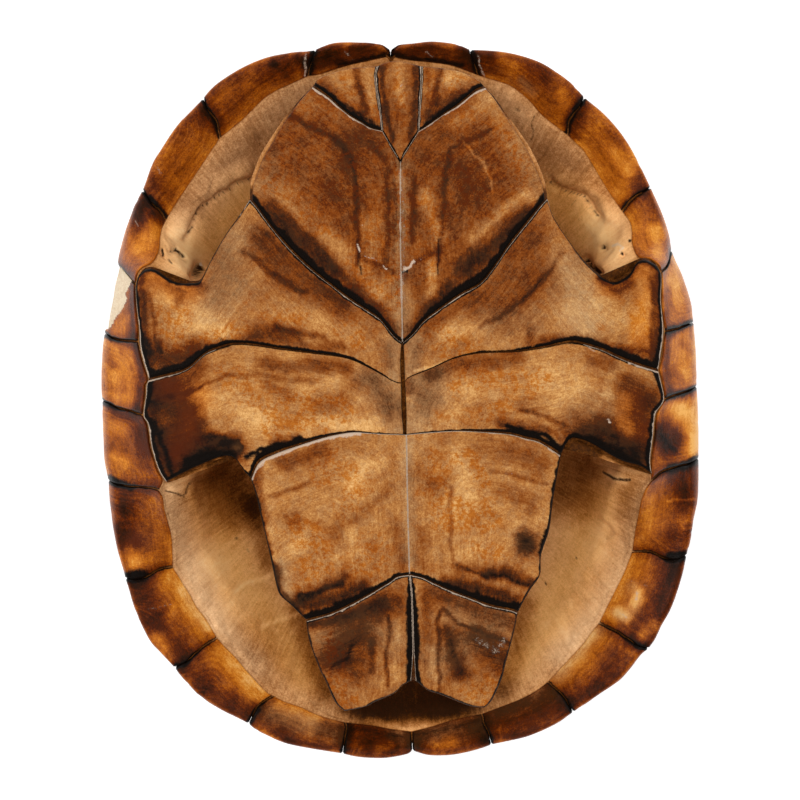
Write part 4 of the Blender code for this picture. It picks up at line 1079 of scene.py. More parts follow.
# Black marks on the seams between the marginals, crescents at the front and blots at the sides and the rear
SEAM_MARKS = [
    "black", (1, 7, 313, 48, 310, 60, 308, 73), (0.95, 5, 205, 106, 210, 113, 215, 122, 218, 136),
    (0.95, 5, 148, 196, 156, 204, 167, 218), (0.9, 5, 104, 335, 116, 339, 136, 341),
    (0.9, 6, 103, 402, 115, 407), (1, 9, 109, 479, 118, 483, 130, 486), (1, 12, 128, 576, 142, 575),
    (0.9, 6, 177, 664, 186, 662), (0.9, 5, 250, 722, 258, 708), (1, 7, 470, 50, 474, 60, 478, 73),
    (1, 7, 582, 99, 574, 110, 569, 122, 567, 132), (1, 6, 643, 190, 632, 198, 622, 209),
    (1, 7, 667, 330, 680, 327, 692, 322), (1, 7, 666, 397, 680, 393, 696, 387),
    (1, 9, 670, 469, 684, 465, 697, 459), (1, 12, 670, 557, 683, 556), (0.8, 5, 643, 647, 634, 643),
    (0.9, 6, 566, 701, 572, 710),
]

# Where a piece of the fifth marginal on the left is broken off down to the bone
CHIP = [
    (110, 262), (121, 266), (131, 279), (128, 286), (124, 293), (126, 298), (123, 305), (119, 312),
    (113, 320), (108, 328), (98, 330), (98, 290),
]

BONE_TONE = 0.28
BONE_STROKES = [
    # Front left window. The black spots in the knob's pits and hole are painted shade in them
    "grey", (0.8, 44, 300, 88, 262, 118, 235, 150, 212, 180, 190, 205), "dark", (0.1, 16, 252, 126, 256, 148),
    "warm", (1, 40, 240, 196, 218, 225, 207, 250), "light", (0.3, 40, 240, 196, 218, 225, 207, 250),
    (0.65, 34, 176, 236, 184, 262), "black",
    (0.75, 2.2, 250, 177, 232, 186, 207, 202, 198, 207, 189, 227, 184, 237),
    (0.45, 2, 212, 180, 206, 193, 190, 204), (0.6, 2.5, 259, 143, 261, 144), (0.6, 2.5, 270, 135, 272, 134),
    (1, 3, 161, 249, 162, 255), (0.9, 3.2, 169, 251, 176, 249, 180, 253), (1, 4.5, 183, 256),
    (0.7, 2.5, 167, 259, 170, 262), (1, 9, 198, 268, 195, 274), "white", (0.9, 3, 200, 264),
    # Front right window. The black spots in the knob's pits and the slit below it are painted shade in them
    "grey", (0.6, 40, 500, 95, 540, 130, 570, 160), "light", (0.1, 20, 500, 92, 520, 112),
    (0.22, 40, 555, 195, 575, 218, 590, 240), (0.3, 26, 588, 208, 594, 244), (0.5, 34, 610, 226, 616, 256),
    "dark", (0.12, 30, 545, 150, 570, 170), "black", (0.6, 2.5, 534, 115, 531, 124, 533, 130, 530, 140),
    (0.6, 3, 516, 109, 518, 110), (0.7, 2.2, 548, 181, 563, 189, 583, 196, 590, 205, 597, 216),
    (0.45, 1.8, 575, 200, 561, 216), (0.35, 1.8, 588, 208, 572, 224), (1, 4.5, 603, 247), (1, 4, 621, 254),
    (1, 3, 628, 240), (1, 6, 585, 259, 592, 267, 599, 272), "warm", (1, 40, 555, 195, 575, 218, 590, 240),
    "white", (0.5, 5, 612, 245, 617, 243, 622, 247, 619, 251),
    # Rear left window. Dark strokes at the groin corner and by the plastron's edges are painted shadow
    # Light strokes 30 to 50 wide are painted light on the bowl; the one at 172, 486 is a painted highlight
    "grey", (1, 30, 164, 494, 172, 530, 190, 585, 214, 625, 250, 666),
    (0.5, 24, 250, 666, 300, 705, 345, 718), "light",
    (0.1, 16, 168, 494, 176, 530, 194, 585, 218, 625, 254, 666), (0.45, 50, 215, 570, 228, 600),
    (0.2, 30, 200, 530, 212, 560), (0.25, 40, 250, 545, 262, 585, 290, 630, 310, 670),
    (0.3, 12, 172, 486, 195, 472, 208, 464), (0.3, 4, 235, 590, 252, 581, 269, 575),
    (0.3, 4, 262, 626, 282, 619, 300, 612), "warm", (0.9, 44, 215, 500, 232, 560, 268, 620, 306, 670), "dark",
    (0.45, 44, 215, 468, 236, 480, 246, 500), (0.45, 20, 298, 608, 305, 636, 315, 664, 326, 690),
    (0.35, 16, 253, 505, 261, 535, 268, 562), "black", (0.7, 2.5, 164, 490, 174, 492, 183, 496, 189, 484),
    (0.9, 3, 237, 538, 239, 540), (0.8, 2.5, 247, 548, 249, 551), (0.8, 2.5, 252, 566),
    # Rear right window. Dark strokes at the groin corner, at 630, 482 and by the plastron's edge are painted
    # shadow
    # Light strokes 22 to 50 wide are painted light on the bowl; those at 596, 458 and 610, 474 a painted
    # highlight
    "grey", (0.9, 26, 652, 488, 640, 520, 630, 560, 602, 612, 562, 658),
    (0.5, 24, 562, 658, 520, 692, 480, 708), "light", (0.3, 50, 598, 560, 585, 600, 566, 628),
    (0.15, 40, 560, 635, 530, 665), (0.2, 30, 612, 520, 600, 545), (0.2, 22, 608, 482, 605, 504, 600, 524),
    (0.3, 50, 562, 540, 545, 585, 525, 625, 508, 660), (0.15, 10, 596, 458, 615, 466, 634, 472),
    (0.3, 8, 610, 474, 624, 480), "dark", (0.15, 22, 630, 482, 628, 512),
    (0.3, 44, 580, 462, 568, 478, 562, 492), (0.4, 20, 526, 604, 520, 630, 512, 660, 503, 688), "warm",
    (0.9, 40, 594, 500, 574, 560, 546, 615, 512, 665), "black", (0.8, 3.5, 603, 472, 614, 478, 630, 480),
    (0.8, 2.5, 570, 527), (0.8, 2.5, 585, 552), (0.8, 2.5, 575, 558), (0.7, 2.5, 612, 549),
    (0.8, 3, 546, 584),
    # Behind the anal notch: the dark strokes are painted shadow under the plastron's tip; the light one is
    # the lip
    "dark", (0.7, 44, 375, 700, 412, 688, 450, 700),
    (0.35, 18, 345, 708, 380, 711, 412, 712, 445, 709, 480, 702), "light",
    (0.2, 7, 370, 720, 390, 725, 412, 729, 440, 723, 462, 717),
]

# The slit along the plastron's middle, and what is drawn on the bone plate under its scutes
SLIT = [(403, 338), (403, 360), (404, 400), (405.5, 438)]
PLATE_STROKES = [
    "black", (0.9, 3, 395, 338, 401, 344, 407, 338),
    (0.9, 8, 250, 478, 255, 495, 262, 525, 269, 555, 275, 583),
    (0.9, 8, 561, 454, 558, 470, 553, 500, 549, 530, 541, 555), "warm",
    (1, 4, 403, 350, 403, 380, 404, 405, 405, 430), "light",
    # The light strokes at 604, 458 and 172, 482 are the pale edges of the groin flaps, with a painted
    # highlight
    (0.12, 4, 403, 338, 403, 350, 403, 380, 404, 405, 405, 430), (0.45, 7, 604, 458, 622, 468, 646, 478),
    (0.3, 6, 172, 482, 190, 474, 204, 468),
]

# Relief of the bone inside the windows: how high it stands, its width and its line
BONE_RELIEF = [
    (-1.2, 4, 250, 177, 232, 186, 207, 202, 198, 207, 189, 227, 184, 237),
    (1.6, 12, 246, 168, 226, 178, 203, 192, 184, 214, 178, 232), (-0.4, 4, 212, 180, 206, 193, 190, 204),
    (-1.2, 4, 548, 181, 563, 189, 583, 196, 590, 205, 597, 216),
    (1.6, 12, 560, 176, 585, 184, 603, 198, 610, 214), (-1.6, 3, 161, 249, 162, 255), (-1.6, 4.5, 183, 256),
    (-1, 3, 169, 251, 176, 249), (-3, 9, 198, 268, 195, 274), (-1.6, 4.5, 603, 247), (-1.6, 4, 621, 254),
    (-2.5, 6, 585, 259, 592, 267, 599, 272), (0.5, 7, 613, 244, 620, 249),
    (-0.5, 3, 164, 490, 174, 492, 183, 496, 189, 484), (0.8, 14, 596, 458, 615, 466, 634, 472),
    (0.8, 12, 172, 486, 195, 472, 212, 462), (0.5, 4, 604, 518, 612, 524, 617, 532, 610, 539),
]


# Finishes


class Value:
    """A socket of a material that Python's operators work on, each adding its Math node."""

    def __init__(self, finish, socket):
        self.finish = finish
        self.socket = socket

    def maths(self, operation, *values, clamp=False):
        settings = {"operation": operation, "use_clamp": clamp}
        return self.finish.node("ShaderNodeMath", settings, dict(enumerate(values)))

    def __add__(self, other):
        return self.maths("ADD", self, other)

    def __radd__(self, other):
        return self.maths("ADD", other, self)

    def __sub__(self, other):
        return self.maths("SUBTRACT", self, other)

    def __rsub__(self, other):
        return self.maths("SUBTRACT", other, self)

    def __mul__(self, other):
        return self.maths("MULTIPLY", self, other)

    def __rmul__(self, other):
        return self.maths("MULTIPLY", other, self)

    def __truediv__(self, other):
        return self.maths("DIVIDE", self, other)

    def clamped(self):
        return self.maths("ADD", self, 0.0, clamp=True)

    def between(self, low, high):
        """0 up to low, 1 from high on, and smooth between them."""
        settings = {"interpolation_type": "SMOOTHSTEP"}
        inputs = {0: self, 1: low, 2: high, 3: 0.0, 4: 1.0}
        return self.finish.node("ShaderNodeMapRange", settings, inputs)


class Finish:
    """A material being put together round its Principled shader."""

    def __init__(self, name):
        self.material = bpy.data.materials.new(name)
        self.material.use_nodes = True
        self.tree = self.material.node_tree
        self.shader = self.tree.nodes["Principled BSDF"]

    def put(self, socket, value):
        """Links a value to a socket, or sets a plain number or colour on it."""
        if isinstance(value, Value):
            self.tree.links.new(value.socket, socket)
        else:
            socket.default_value = value

    def node(self, kind, settings=None, inputs=None, output=0):
        """Adds a node with its settings, and sets or links its sockets. Returns the socket that it gives."""
        new = self.tree.nodes.new(kind)
        for name, setting in (settings or {}).items():
            setattr(new, name, setting)
        for key, value in (inputs or {}).items():
            self.put(new.inputs[key], value)
        return Value(self, new.outputs[output])

    def mix(self, amount, first, second):
        """The first colour where the amount is 0, and the second where it is 1."""
        settings = {"data_type": "RGBA", "clamp_factor": True}
        return self.node("ShaderNodeMix", settings, {0: amount, 6: first, 7: second}, output=2)

    def ramp(self, tone, stops):
        """The colour for a tone, from stops of tone, red, green and blue in rising order."""
        (low, *colour), *rest = stops
        colour = paint(*colour)
        for high, *following in rest:
            colour = self.mix((tone - low) / (high - low), colour, paint(*following))
            low = high
        return colour

    def place(self):
        """Where on the shell a point is, in metres."""
        return self.node("ShaderNodeTexCoord", output=3)

    def noise(self, where, size, detail, rough=0.55, warp=0.0):
        """Soft random values about 0.5 whose features are about this many millimetres across."""
        inputs = {"Vector": where, "Scale": 1 / (size * MM), "Detail": detail, "Roughness": rough}
        return self.node("ShaderNodeTexNoise", None, {**inputs, "Distortion": warp})

    def kept(self, label):
        """The four numbers that are kept on the mesh's points under a label."""
        settings = {"attribute_type": "GEOMETRY", "attribute_name": label}
        colour = self.node("ShaderNodeAttribute", settings)
        node = colour.socket.node
        parts = self.node("ShaderNodeSeparateColor", None, {0: colour}).socket.node
        return [Value(self, parts.outputs[i]) for i in range(3)] + [Value(self, node.outputs["Alpha"])]

    def together(self, x, y, z):
        """A vector of three values."""
        return self.node("ShaderNodeCombineXYZ", None, {0: x, 1: y, 2: z})

    def bump(self, height, strength, distance):
        """A bump normal from a height."""
        inputs = {"Height": height, "Strength": strength, "Distance": distance * MM}
        return self.node("ShaderNodeBump", None, inputs)

    def set(self, **sockets):
        """Values or links of the shader's own sockets, whose names have _ for a space."""
        for name, value in sockets.items():
            self.put(self.shader.inputs[name.replace("_", " ")], value)
        return self.material


def paint(red, green, blue):
    """A colour as a socket takes it."""
    return (red, green, blue, 1.0)


# Stops of tone, red, green and blue, from pale to black: each horn, then its ashy, rusty and amber places
PLASTRON_COLOURS = [
    (-0.1, 0.80, 0.46, 0.18), (0.05, 0.68, 0.36, 0.12), (0.25, 0.46, 0.195, 0.052),
    (0.5, 0.265, 0.08, 0.014), (0.65, 0.20, 0.046, 0.004), (0.8, 0.10, 0.021, 0.002),
    (1.0, 0.03, 0.009, 0.003), (1.2, 0.01, 0.005, 0.003),
]
RIM_COLOURS = [
    (-0.1, 0.88, 0.48, 0.16), (0.05, 0.76, 0.33, 0.055), (0.25, 0.58, 0.175, 0.012),
    (0.5, 0.29, 0.064, 0.003), (0.65, 0.165, 0.029, 0.001), (0.8, 0.085, 0.013, 0.001),
    (1.0, 0.025, 0.006, 0.001), (1.2, 0.008, 0.003, 0.001),
]
DOME_COLOURS = [
    (0.0, 0.34, 0.16, 0.05), (0.3, 0.17, 0.075, 0.022), (0.6, 0.075, 0.03, 0.01),
    (1.0, 0.02, 0.009, 0.004),
]
ASH_COLOURS = [(0.0, 0.60, 0.37, 0.175), (0.4, 0.31, 0.155, 0.062), (0.8, 0.08, 0.030, 0.009)]
RUST_COLOURS = [
    (0.0, 0.62, 0.235, 0.035), (0.4, 0.42, 0.125, 0.012), (0.65, 0.275, 0.062, 0.004),
    (0.9, 0.09, 0.015, 0.001),
]
AMBER_COLOURS = [
    (-0.1, 0.88, 0.42, 0.08), (0.15, 0.70, 0.24, 0.022), (0.4, 0.46, 0.115, 0.006), (0.8, 0.10, 0.015, 0.001),
]

# The bone bared by the chip, then dry bone and its warm and grey places
CHIP_COLOURS = [(0.4, 0.90, 0.76, 0.55), (0.6, 0.72, 0.53, 0.34)]
BONE_COLOURS = [
    (-0.5, 1.0, 0.64, 0.30), (-0.2, 0.93, 0.51, 0.21), (0.1, 0.70, 0.335, 0.12), (0.35, 0.42, 0.165, 0.043),
    (0.6, 0.21, 0.068, 0.012), (0.8, 0.08, 0.023, 0.003), (1.0, 0.03, 0.01, 0.003),
]
WARM_BONE_COLOURS = [
    (-0.5, 1.0, 0.6, 0.22), (-0.2, 0.93, 0.48, 0.13), (0.1, 0.68, 0.29, 0.05), (0.4, 0.38, 0.125, 0.012),
    (0.8, 0.08, 0.017, 0.001),
]
GREY_BONE_COLOURS = [
    (-0.5, 0.92, 0.66, 0.42), (-0.2, 0.80, 0.52, 0.29), (0.1, 0.58, 0.34, 0.17), (0.4, 0.30, 0.145, 0.062),
    (0.8, 0.07, 0.028, 0.01),
]
# Black of stains and seams, and the pale of flaking horn, also used for one painted glint
BLACK_STAIN, DUST_AND_GLINT = paint(0.005, 0.003, 0.002), paint(0.58, 0.44, 0.33)
# Bone's black: sutures and cracks, and painted shade in pits and slits. Then pale dust on bone
BONE_CREASE_AND_SHADE, BONE_DUST = paint(0.03, 0.013, 0.005), paint(0.78, 0.62, 0.44)

# How far a growth streak runs: across and along the growth, and how much the broad pattern bends it. On bone
# the wrinkles run inwards: their turn about the middle, and how much depth and the broad pattern shift them
STREAK_ACROSS, STREAK_ALONG, STREAK_BEND = 0.001, 0.00009, 0.0012
WRINKLE_REACH, WRINKLE_DOWN, WRINKLE_BEND = 75.0, 0.00012, 0.002


def horn_finish(name, colours, uneven, ashy, gloss, shine, depth):
    """Horn: its tone broken up by mottle, growth streaks and specks, then the stains kept on the points.

    Tone plus the noises, each less a half and weighed, picks the colour. Each stain then mixes in its own
    colours, with an edge that the mottle or the specks break up.
    """
    finish = Finish(name)
    where = finish.place()
    tone, black, white, grey = finish.kept("stains")
    rust, amber, *_ = finish.kept("tones")
    growth, along_it, bare, _ = finish.kept("form")
    broad = finish.noise(where, 16, 4)
    mottle = finish.noise(where, 4.5, 5, 0.65, warp=0.5)
    patch = finish.noise(where, 2.4, 6, 0.75, warp=0.3)
    fleck = finish.noise(where, 1.0, 5, 0.8)
    grain = finish.noise(where, 0.4, 3, 0.85)
    strip = finish.together(growth * STREAK_ACROSS, along_it * STREAK_ALONG, broad * STREAK_BEND)
    streak = finish.noise(strip, 1.5, 4, 0.65)
    fine_streak = finish.noise(strip, 0.45, 3, 0.7)
    tone = tone + ((broad - 0.5) * 0.35 + (mottle - 0.5) * 0.5 + (streak - 0.5) * 0.35) * uneven
    tone = tone + (fine_streak - 0.5) * 0.35 + (fleck - 0.5) * 0.55 + (grain - 0.5) * 0.75
    colour = finish.ramp(tone, colours)
    ash = (0.5 - patch + (mottle - 0.5) * 0.4).between(-0.02, 0.06) * ashy + grey * (mottle + 0.3)
    colour = finish.mix(ash.clamped() * 0.85, colour, finish.ramp(tone, ASH_COLOURS))
    cluster = (rust + (broad - 0.5) * 1.5 + (mottle - 0.5) * 1.5 - 0.2).between(0.0, 0.5)
    spots = (patch + (fleck - 0.5) * 1.1).between(0.49, 0.56) * cluster
    colour = finish.mix(spots * 0.95, colour, finish.ramp(tone + 0.12, RUST_COLOURS))
    # The amber stain holds amber horn, and on the rim's nose a painted highlight
    amber_and_highlight = (amber + (mottle - 0.5) * 1.5).clamped() * 0.7
    colour = finish.mix(amber_and_highlight, colour, finish.ramp(tone, AMBER_COLOURS))
    dark = black + (fleck - 0.5) * 0.7 + (fine_streak - 0.5) * 0.6
    colour = finish.mix(dark.between(0.2, 0.85), colour, BLACK_STAIN)
    # The white stain holds flaking horn and seam lines, and one painted glint on the right abdominal
    flake_and_glint = white + (fleck - 0.5) * 1.3 + (grain - 0.5) * 1.2
    colour = finish.mix(flake_and_glint.between(0.35, 0.8) * 0.85, colour, DUST_AND_GLINT)
    colour = finish.mix(bare, colour, finish.ramp(fleck * 0.5 + grain * 0.5, CHIP_COLOURS))
    height = streak * 0.4 + fine_streak * 0.35 + fleck * 0.35 + grain * 0.3
    rough = gloss + (fleck - 0.5) * 0.4 + bare * 0.3 + white * 0.2 + (mottle - 0.5) * 0.2
    return finish.set(
        Base_Color=colour, Roughness=rough, Normal=finish.bump(height, 0.7, depth), Specular_IOR_Level=shine,
    )


def bone_finish():
    """Dry bone: tan with a soft mottle and small pores, greyer at the lip, and darkened in the hollows by
    painted shade.

    Tone plus the noises, each less a half and weighed, picks the colour, and each stain mixes in its own.
    """
    finish = Finish("bone")
    where = finish.place()
    tone, black, white, grey = finish.kept("stains")
    _, _, warm, _ = finish.kept("tones")
    ray_x, ray_y, down, _ = finish.kept("form")
    broad = finish.noise(where, 14, 4)
    mottle = finish.noise(where, 3.5, 5, 0.65)
    fleck = finish.noise(where, 1.1, 5, 0.75)
    grain = finish.noise(where, 0.45, 4, 0.8)
    turn = WRINKLE_REACH * MM
    strip = finish.together(ray_x * turn, ray_y * turn, down * WRINKLE_DOWN + broad * WRINKLE_BEND)
    wrinkle = finish.noise(strip, 0.8, 4, 0.65)
    tone = tone + (broad - 0.5) * 0.25 + (mottle - 0.5) * 0.25 + (wrinkle - 0.5) * 0.5
    tone = tone + (fleck - 0.5) * 0.5 + (grain - 0.5) * 0.8
    colour = finish.ramp(tone, BONE_COLOURS)
    colour = finish.mix((warm + (mottle - 0.5)).clamped() * 0.7, colour, finish.ramp(tone, WARM_BONE_COLOURS))
    ash = (grey + (mottle - 0.5) * 0.6).clamped() * 0.7
    colour = finish.mix(ash, colour, finish.ramp(tone, GREY_BONE_COLOURS))
    colour = finish.mix((black + (grain - 0.5) * 0.4).between(0.2, 0.8), colour, BONE_CREASE_AND_SHADE)
    colour = finish.mix((white + grain * 0.5 - 0.25).between(0.3, 0.6), colour, BONE_DUST)
    height = mottle * 0.4 + fleck * 0.3 + grain * 0.15 + wrinkle * 0.8
    return finish.set(
        Base_Color=colour, Roughness=0.5 + grain * 0.2, Normal=finish.bump(height, 0.6, 0.35),
        Specular_IOR_Level=0.08,
    )


def floor_finish():
    """White card that glows a little, so that it stays plain white under the shell's shade."""
    finish = Finish("white_floor")
    white = paint(0.9, 0.9, 0.9)
    return finish.set(Base_Color=white, Roughness=0.9, Emission_Color=paint(1, 1, 1), Emission_Strength=0.45)


# The plastron


def plastron_plan(spots):
    """Plan points of grid steps on the plastron's face."""
    plan = to_plan(spots, PLASTRON_HEIGHT)
    for _ in range(3):
        plan = to_plan(spots, plastron_height(plan))
    return plan


def seam(*names):
    """Seams of the plastron end to end, as a plan line. One with a minus before its name is turned round."""
    lines = [along(pairs(SEAMS[name.strip("-")]), SEAM_STEPS) for name in names]
    turned = [line[::-1] if name.startswith("-") else line for name, line in zip(names, lines)]
    return plastron_plan(chain(*turned))


def coons(front, rear, inner, outer, u, v):
    """Plan points between four edge lines, each followed exactly: u runs inner to outer, v front to rear."""
    ahead, behind = on_line(front, u), on_line(rear, u)
    left, right = on_line(inner, v), on_line(outer, v)
    u, v = u[..., None], v[..., None]
    corners = (1 - v) * ((1 - u) * front[0] + u * front[-1]) + v * ((1 - u) * rear[0] + u * rear[-1])
    return (1 - v) * ahead + v * behind + (1 - u) * left + u * right - corners


def spread(values, share):
    """Values given at even steps along an edge, at shares of its length."""
    return np.interp(share, np.linspace(0, 1, len(values)), values)


def opened(edges, gaps, step):
    """A scute's plan grid at about this step, with each edge drawn in by the gaps given along it."""
    lengths = [np.linalg.norm(np.diff(edge, axis=0), axis=1).sum() for edge in edges]
    columns = int(max(lengths[:2]) / step) + 2
    rows = int(max(lengths[2:]) / step) + 2
    u, v = np.meshgrid(np.linspace(0, 1, columns), np.linspace(0, 1, rows))
    whole = coons(*edges, u, v)
    over = np.linalg.norm(np.diff(whole, axis=1), axis=-1).sum(1)
    down = np.linalg.norm(np.diff(whole, axis=0), axis=-1).sum(0)
    front, rear, inner, outer = gaps
    inner, outer = spread(inner, v[:, 0]) / over, spread(outer, v[:, 0]) / over
    front, rear = spread(front, u[0]) / down, spread(rear, u[0]) / down
    moved_u = inner[:, None] + u * (1 - inner - outer)[:, None]
    moved_v = front + v * (1 - front - rear)
    return coons(*edges, moved_u, moved_v), u, v


def plastron_scutes():
    """Each scute's name, its four edge lines, and each edge's gap, black and white widths along it."""
    kinds = [kind for kind in SCUTE_EDGES if kind != "intergular"]
    names = [(f"{kind}_{side}", side) for side in ("left", "right") for kind in kinds] + [("intergular", "")]
    for name, side in names:
        edges, looks = [], []
        for seams, *widths in SCUTE_EDGES[name.split("_")[0]]:
            edges.append(seam(*seams.replace("SIDE", side).split()))
            looks.append([width[side] if isinstance(width, dict) else width for width in widths])
        yield name, edges, looks


def edge_stains(amounts, looks, distances, u, v, spots):
    """Adds each edge's black band and white line to the stains, of the widths given along it."""
    rough = 0.5 + cloud(spots[..., 0], spots[..., 1], 7, 11)
    for (_, blacks, whites), distance, share in zip(looks, distances, (u, u, v, v)):
        for stain, widths in (("black", blacks), ("white", whites)):
            width = spread(widths, share) * rough
            band = smooth(1.6 * (1 - distance / np.maximum(width, 1e-3))) * (width > 0.05)
            amounts[stain] = 1 - (1 - amounts[stain]) * (1 - band)


def add_plastron_scutes(finish):
    """The scutes: the plastron's face less a rounded edge, a dip along the seams and fine growth ridges."""
    for name, edges, looks in plastron_scutes():
        plan, u, v = opened(edges, [look[0] for look in looks], FINE)
        distances = edge_distances(plan)
        face = with_height(plan, plastron_height(plan))
        spots = wander(to_grid(face), 3)
        amounts = painted(spots, PLASTRON_TONES[name.split("_")[0]], PLASTRON_STROKES[name])
        edge_stains(amounts, looks, distances, u, v, spots)
        growth = soft_least(distances[0], distances[2], 10)
        growth = growth + 1.5 * (cloud(plan[..., 0], plan[..., 1], 14, 3) - 0.5)
        along_it = distances[0] - distances[2]
        sunk = np.zeros(plan.shape[:2])
        for (gap, _, _), distance, share in zip(looks, distances, (u, u, v, v)):
            open_by = np.clip(spread(gap, share) / 0.5, 0.15, 1)
            sunk = np.maximum(sunk, EDGE_DROP * open_by * quarter(distance, EDGE_ROUND))
            sunk = sunk + SEAM_DIP * open_by * np.exp(-((distance / SEAM_DIP_WIDTH) ** 2))
        ridges = RIDGE * cloud(growth, along_it * 0.08, RIDGE_SIZE, 8, octaves=2)
        top = with_height(plan, face[..., 2] - sunk - ridges * smooth(np.min(distances, axis=0) / 2))
        bottom = with_height(plan, face[..., 2] - np.maximum(HORN, sunk + 0.15))
        add_plate(f"{name}_scute", top, bottom, amounts, [growth, along_it], finish)


def plate_stations(side):
    """Points round one side of the plastron's outline, and the midline points that they pair with."""
    front = "front_middle" if side == "right" else "-front_middle"
    outline = seam(front, *PLATE_OUTLINE.replace("SIDE", side).split())
    outline = outline[np.argmin(np.abs(outline[:SEAM_STEPS, 0])):]
    far = walked(outline)
    points = [seam(f"{name}_{side}")[number] for name, number, _ in PLATE_PAIRS]
    marks = [far[np.argmin(np.linalg.norm(outline - point, axis=1))] for point in points]
    levels = [outline[0, 1], *(level for _, _, level in PLATE_PAIRS), outline[-1, 1]]
    place = np.linspace(0, far[-1], PLATE_ROWS)
    level = np.interp(place, [0.0, *marks, far[-1]], levels)
    return at(outline, place), np.stack([np.interp(level, *MIDLINE_LEAN), level], axis=1)


def half_plate(side):
    """Half of the plate's section at each station: along its face from the midline, then back underneath."""
    edge, middle = plate_stations(side)
    share = 1 - (1 - np.linspace(0, 1, PLATE_FACE_POINTS)) ** 2.2
    plan = middle[:, None] + (edge - middle)[:, None] * share[None, :, None]
    distance = line_distance(plan, edge)
    face = plastron_height(plan)
    round_off = PLATE_ROUND * quarter(distance, PLATE_ROUND)
    top = face - BONE_DEPTH - round_off
    floor = np.minimum(face - PLATE + round_off, top)
    return with_height(plan, top), with_height(plan, floor)


def add_plastron_bone(finish):
    """The bony plate: sections from edge to edge, one behind the other, closed to a point at both ends."""
    right_top, right_floor = half_plate("right")
    left_top, left_floor = half_plate("left")
    halves = [right_top, right_floor[:, ::-1][:, 1:], left_floor[:, 1:], left_top[:, ::-1][:, 1:-1]]
    loop = np.concatenate(halves, axis=1)
    rows, count = loop.shape[:2]
    slit = brush(to_grid(loop), SLIT, 5)
    loop[..., 2] -= SLIT_DEPTH * slit * (np.arange(count) < PLATE_FACE_POINTS)
    loop[0], loop[-1] = loop[0].mean(0), loop[-1].mean(0)
    index = np.arange(rows * count).reshape(rows, count)
    index = np.column_stack([index, index[:, 0]])
    spots = wander(to_grid(loop), 2)
    under = loop[..., 2] < plastron_height(loop[..., :2]) - BONE_DEPTH - 1.8
    rims = sum(brush(spots, SEAMS[f"edge_{name}"], 9) for name in ("humeral_left", "humeral_right"))
    rims = rims * smooth((spots[..., 1] - 100) / 30) * smooth((194 - spots[..., 1]) / 12)
    amounts = painted(spots, np.where(under, 0.35, 0.85 - 0.65 * np.clip(rims, 0, 1)), PLATE_STROKES)
    form = [loop[..., 0] / WRINKLE_REACH, loop[..., 1] / WRINKLE_REACH]
    faces = grid_faces(index, False).tolist()
    add_piece("plastron_bone", loop.reshape(-1, 3), faces, amounts, form, finish, "plastron")


# The rim


def seam_bends():
    """How far each seam between marginals strays from its place, at even steps from the nose inwards."""
    across = np.linspace(0, 1, 41)
    bends = []
    for number, line in enumerate(SEAMS_RIGHT + SEAMS_LEFT[-2:0:-1]):
        places = number + np.linspace(-0.6, 0.6, 121)
        place, inwards = np.meshgrid(places, across, indexing="ij")
        seen = to_grid(underside_point(place, inwards, np.zeros_like(place)))
        found = []
        for spot in along(pairs(line), 12):
            nearest = np.argmin(np.linalg.norm(seen - spot, axis=-1))
            found.append((inwards.flat[nearest], place.flat[nearest] - number))
        found = np.array(sorted(found))
        bends.append(np.interp(np.linspace(0, 1, BEND_STEPS), found[:, 0], found[:, 1]))
    return bends


def marginal_plate(number, bends, depth):
    """One marginal scute from the seam under the rim, round the nose, to the inner edge, sunk by depth.

    Returns its points, their places along the rim, and how far inwards under the rim they are, 0 to 1.
    """
    run_length = walked(rim_point(number + np.linspace(0, 1, 20)))[-1]
    columns = int(run_length / FINE) + 2
    width = underside_width(np.array(number + 0.5))
    inner_rows = int((width - NOSE) / FINE) + 2
    u = np.linspace(0, 1, columns)[None]
    ring_gap = 0.01
    runs = (RING + ring_gap + (1 - RING - ring_gap) * WALL_RUNS)[:, None]
    turn = 1 - np.cos(NOSE_TURNS * math.pi / 2)
    share = np.concatenate([turn * NOSE / width, np.linspace(NOSE / width, 1, inner_rows)[1:]])[:, None]

    def places(inwards, gap):
        """Places between the two seams at shares inwards, less the gap at each."""
        stops = np.linspace(0, 1, BEND_STEPS)
        first, last = (np.interp(inwards, stops, bends[(number + step) % 24]) for step in (0, 1))
        start, end = number + gap / run_length + first, number + 1 - gap / run_length + last
        return start + (end - start) * u

    wall_place = places(0 * runs, 0.05)
    place = places(share, 0.05 + 0.18 * share)
    across = share * (1 - 0.3 / underside_width(place))
    if depth is None:
        depth = np.zeros((len(runs) + len(share), columns))
    wall = dome_point(wall_place, runs + 0 * wall_place, depth[: len(runs)])
    underside = underside_point(place, across, depth[len(runs):])
    return np.vstack([wall, underside]), np.vstack([wall_place, place]), np.vstack([0 * wall_place, across])


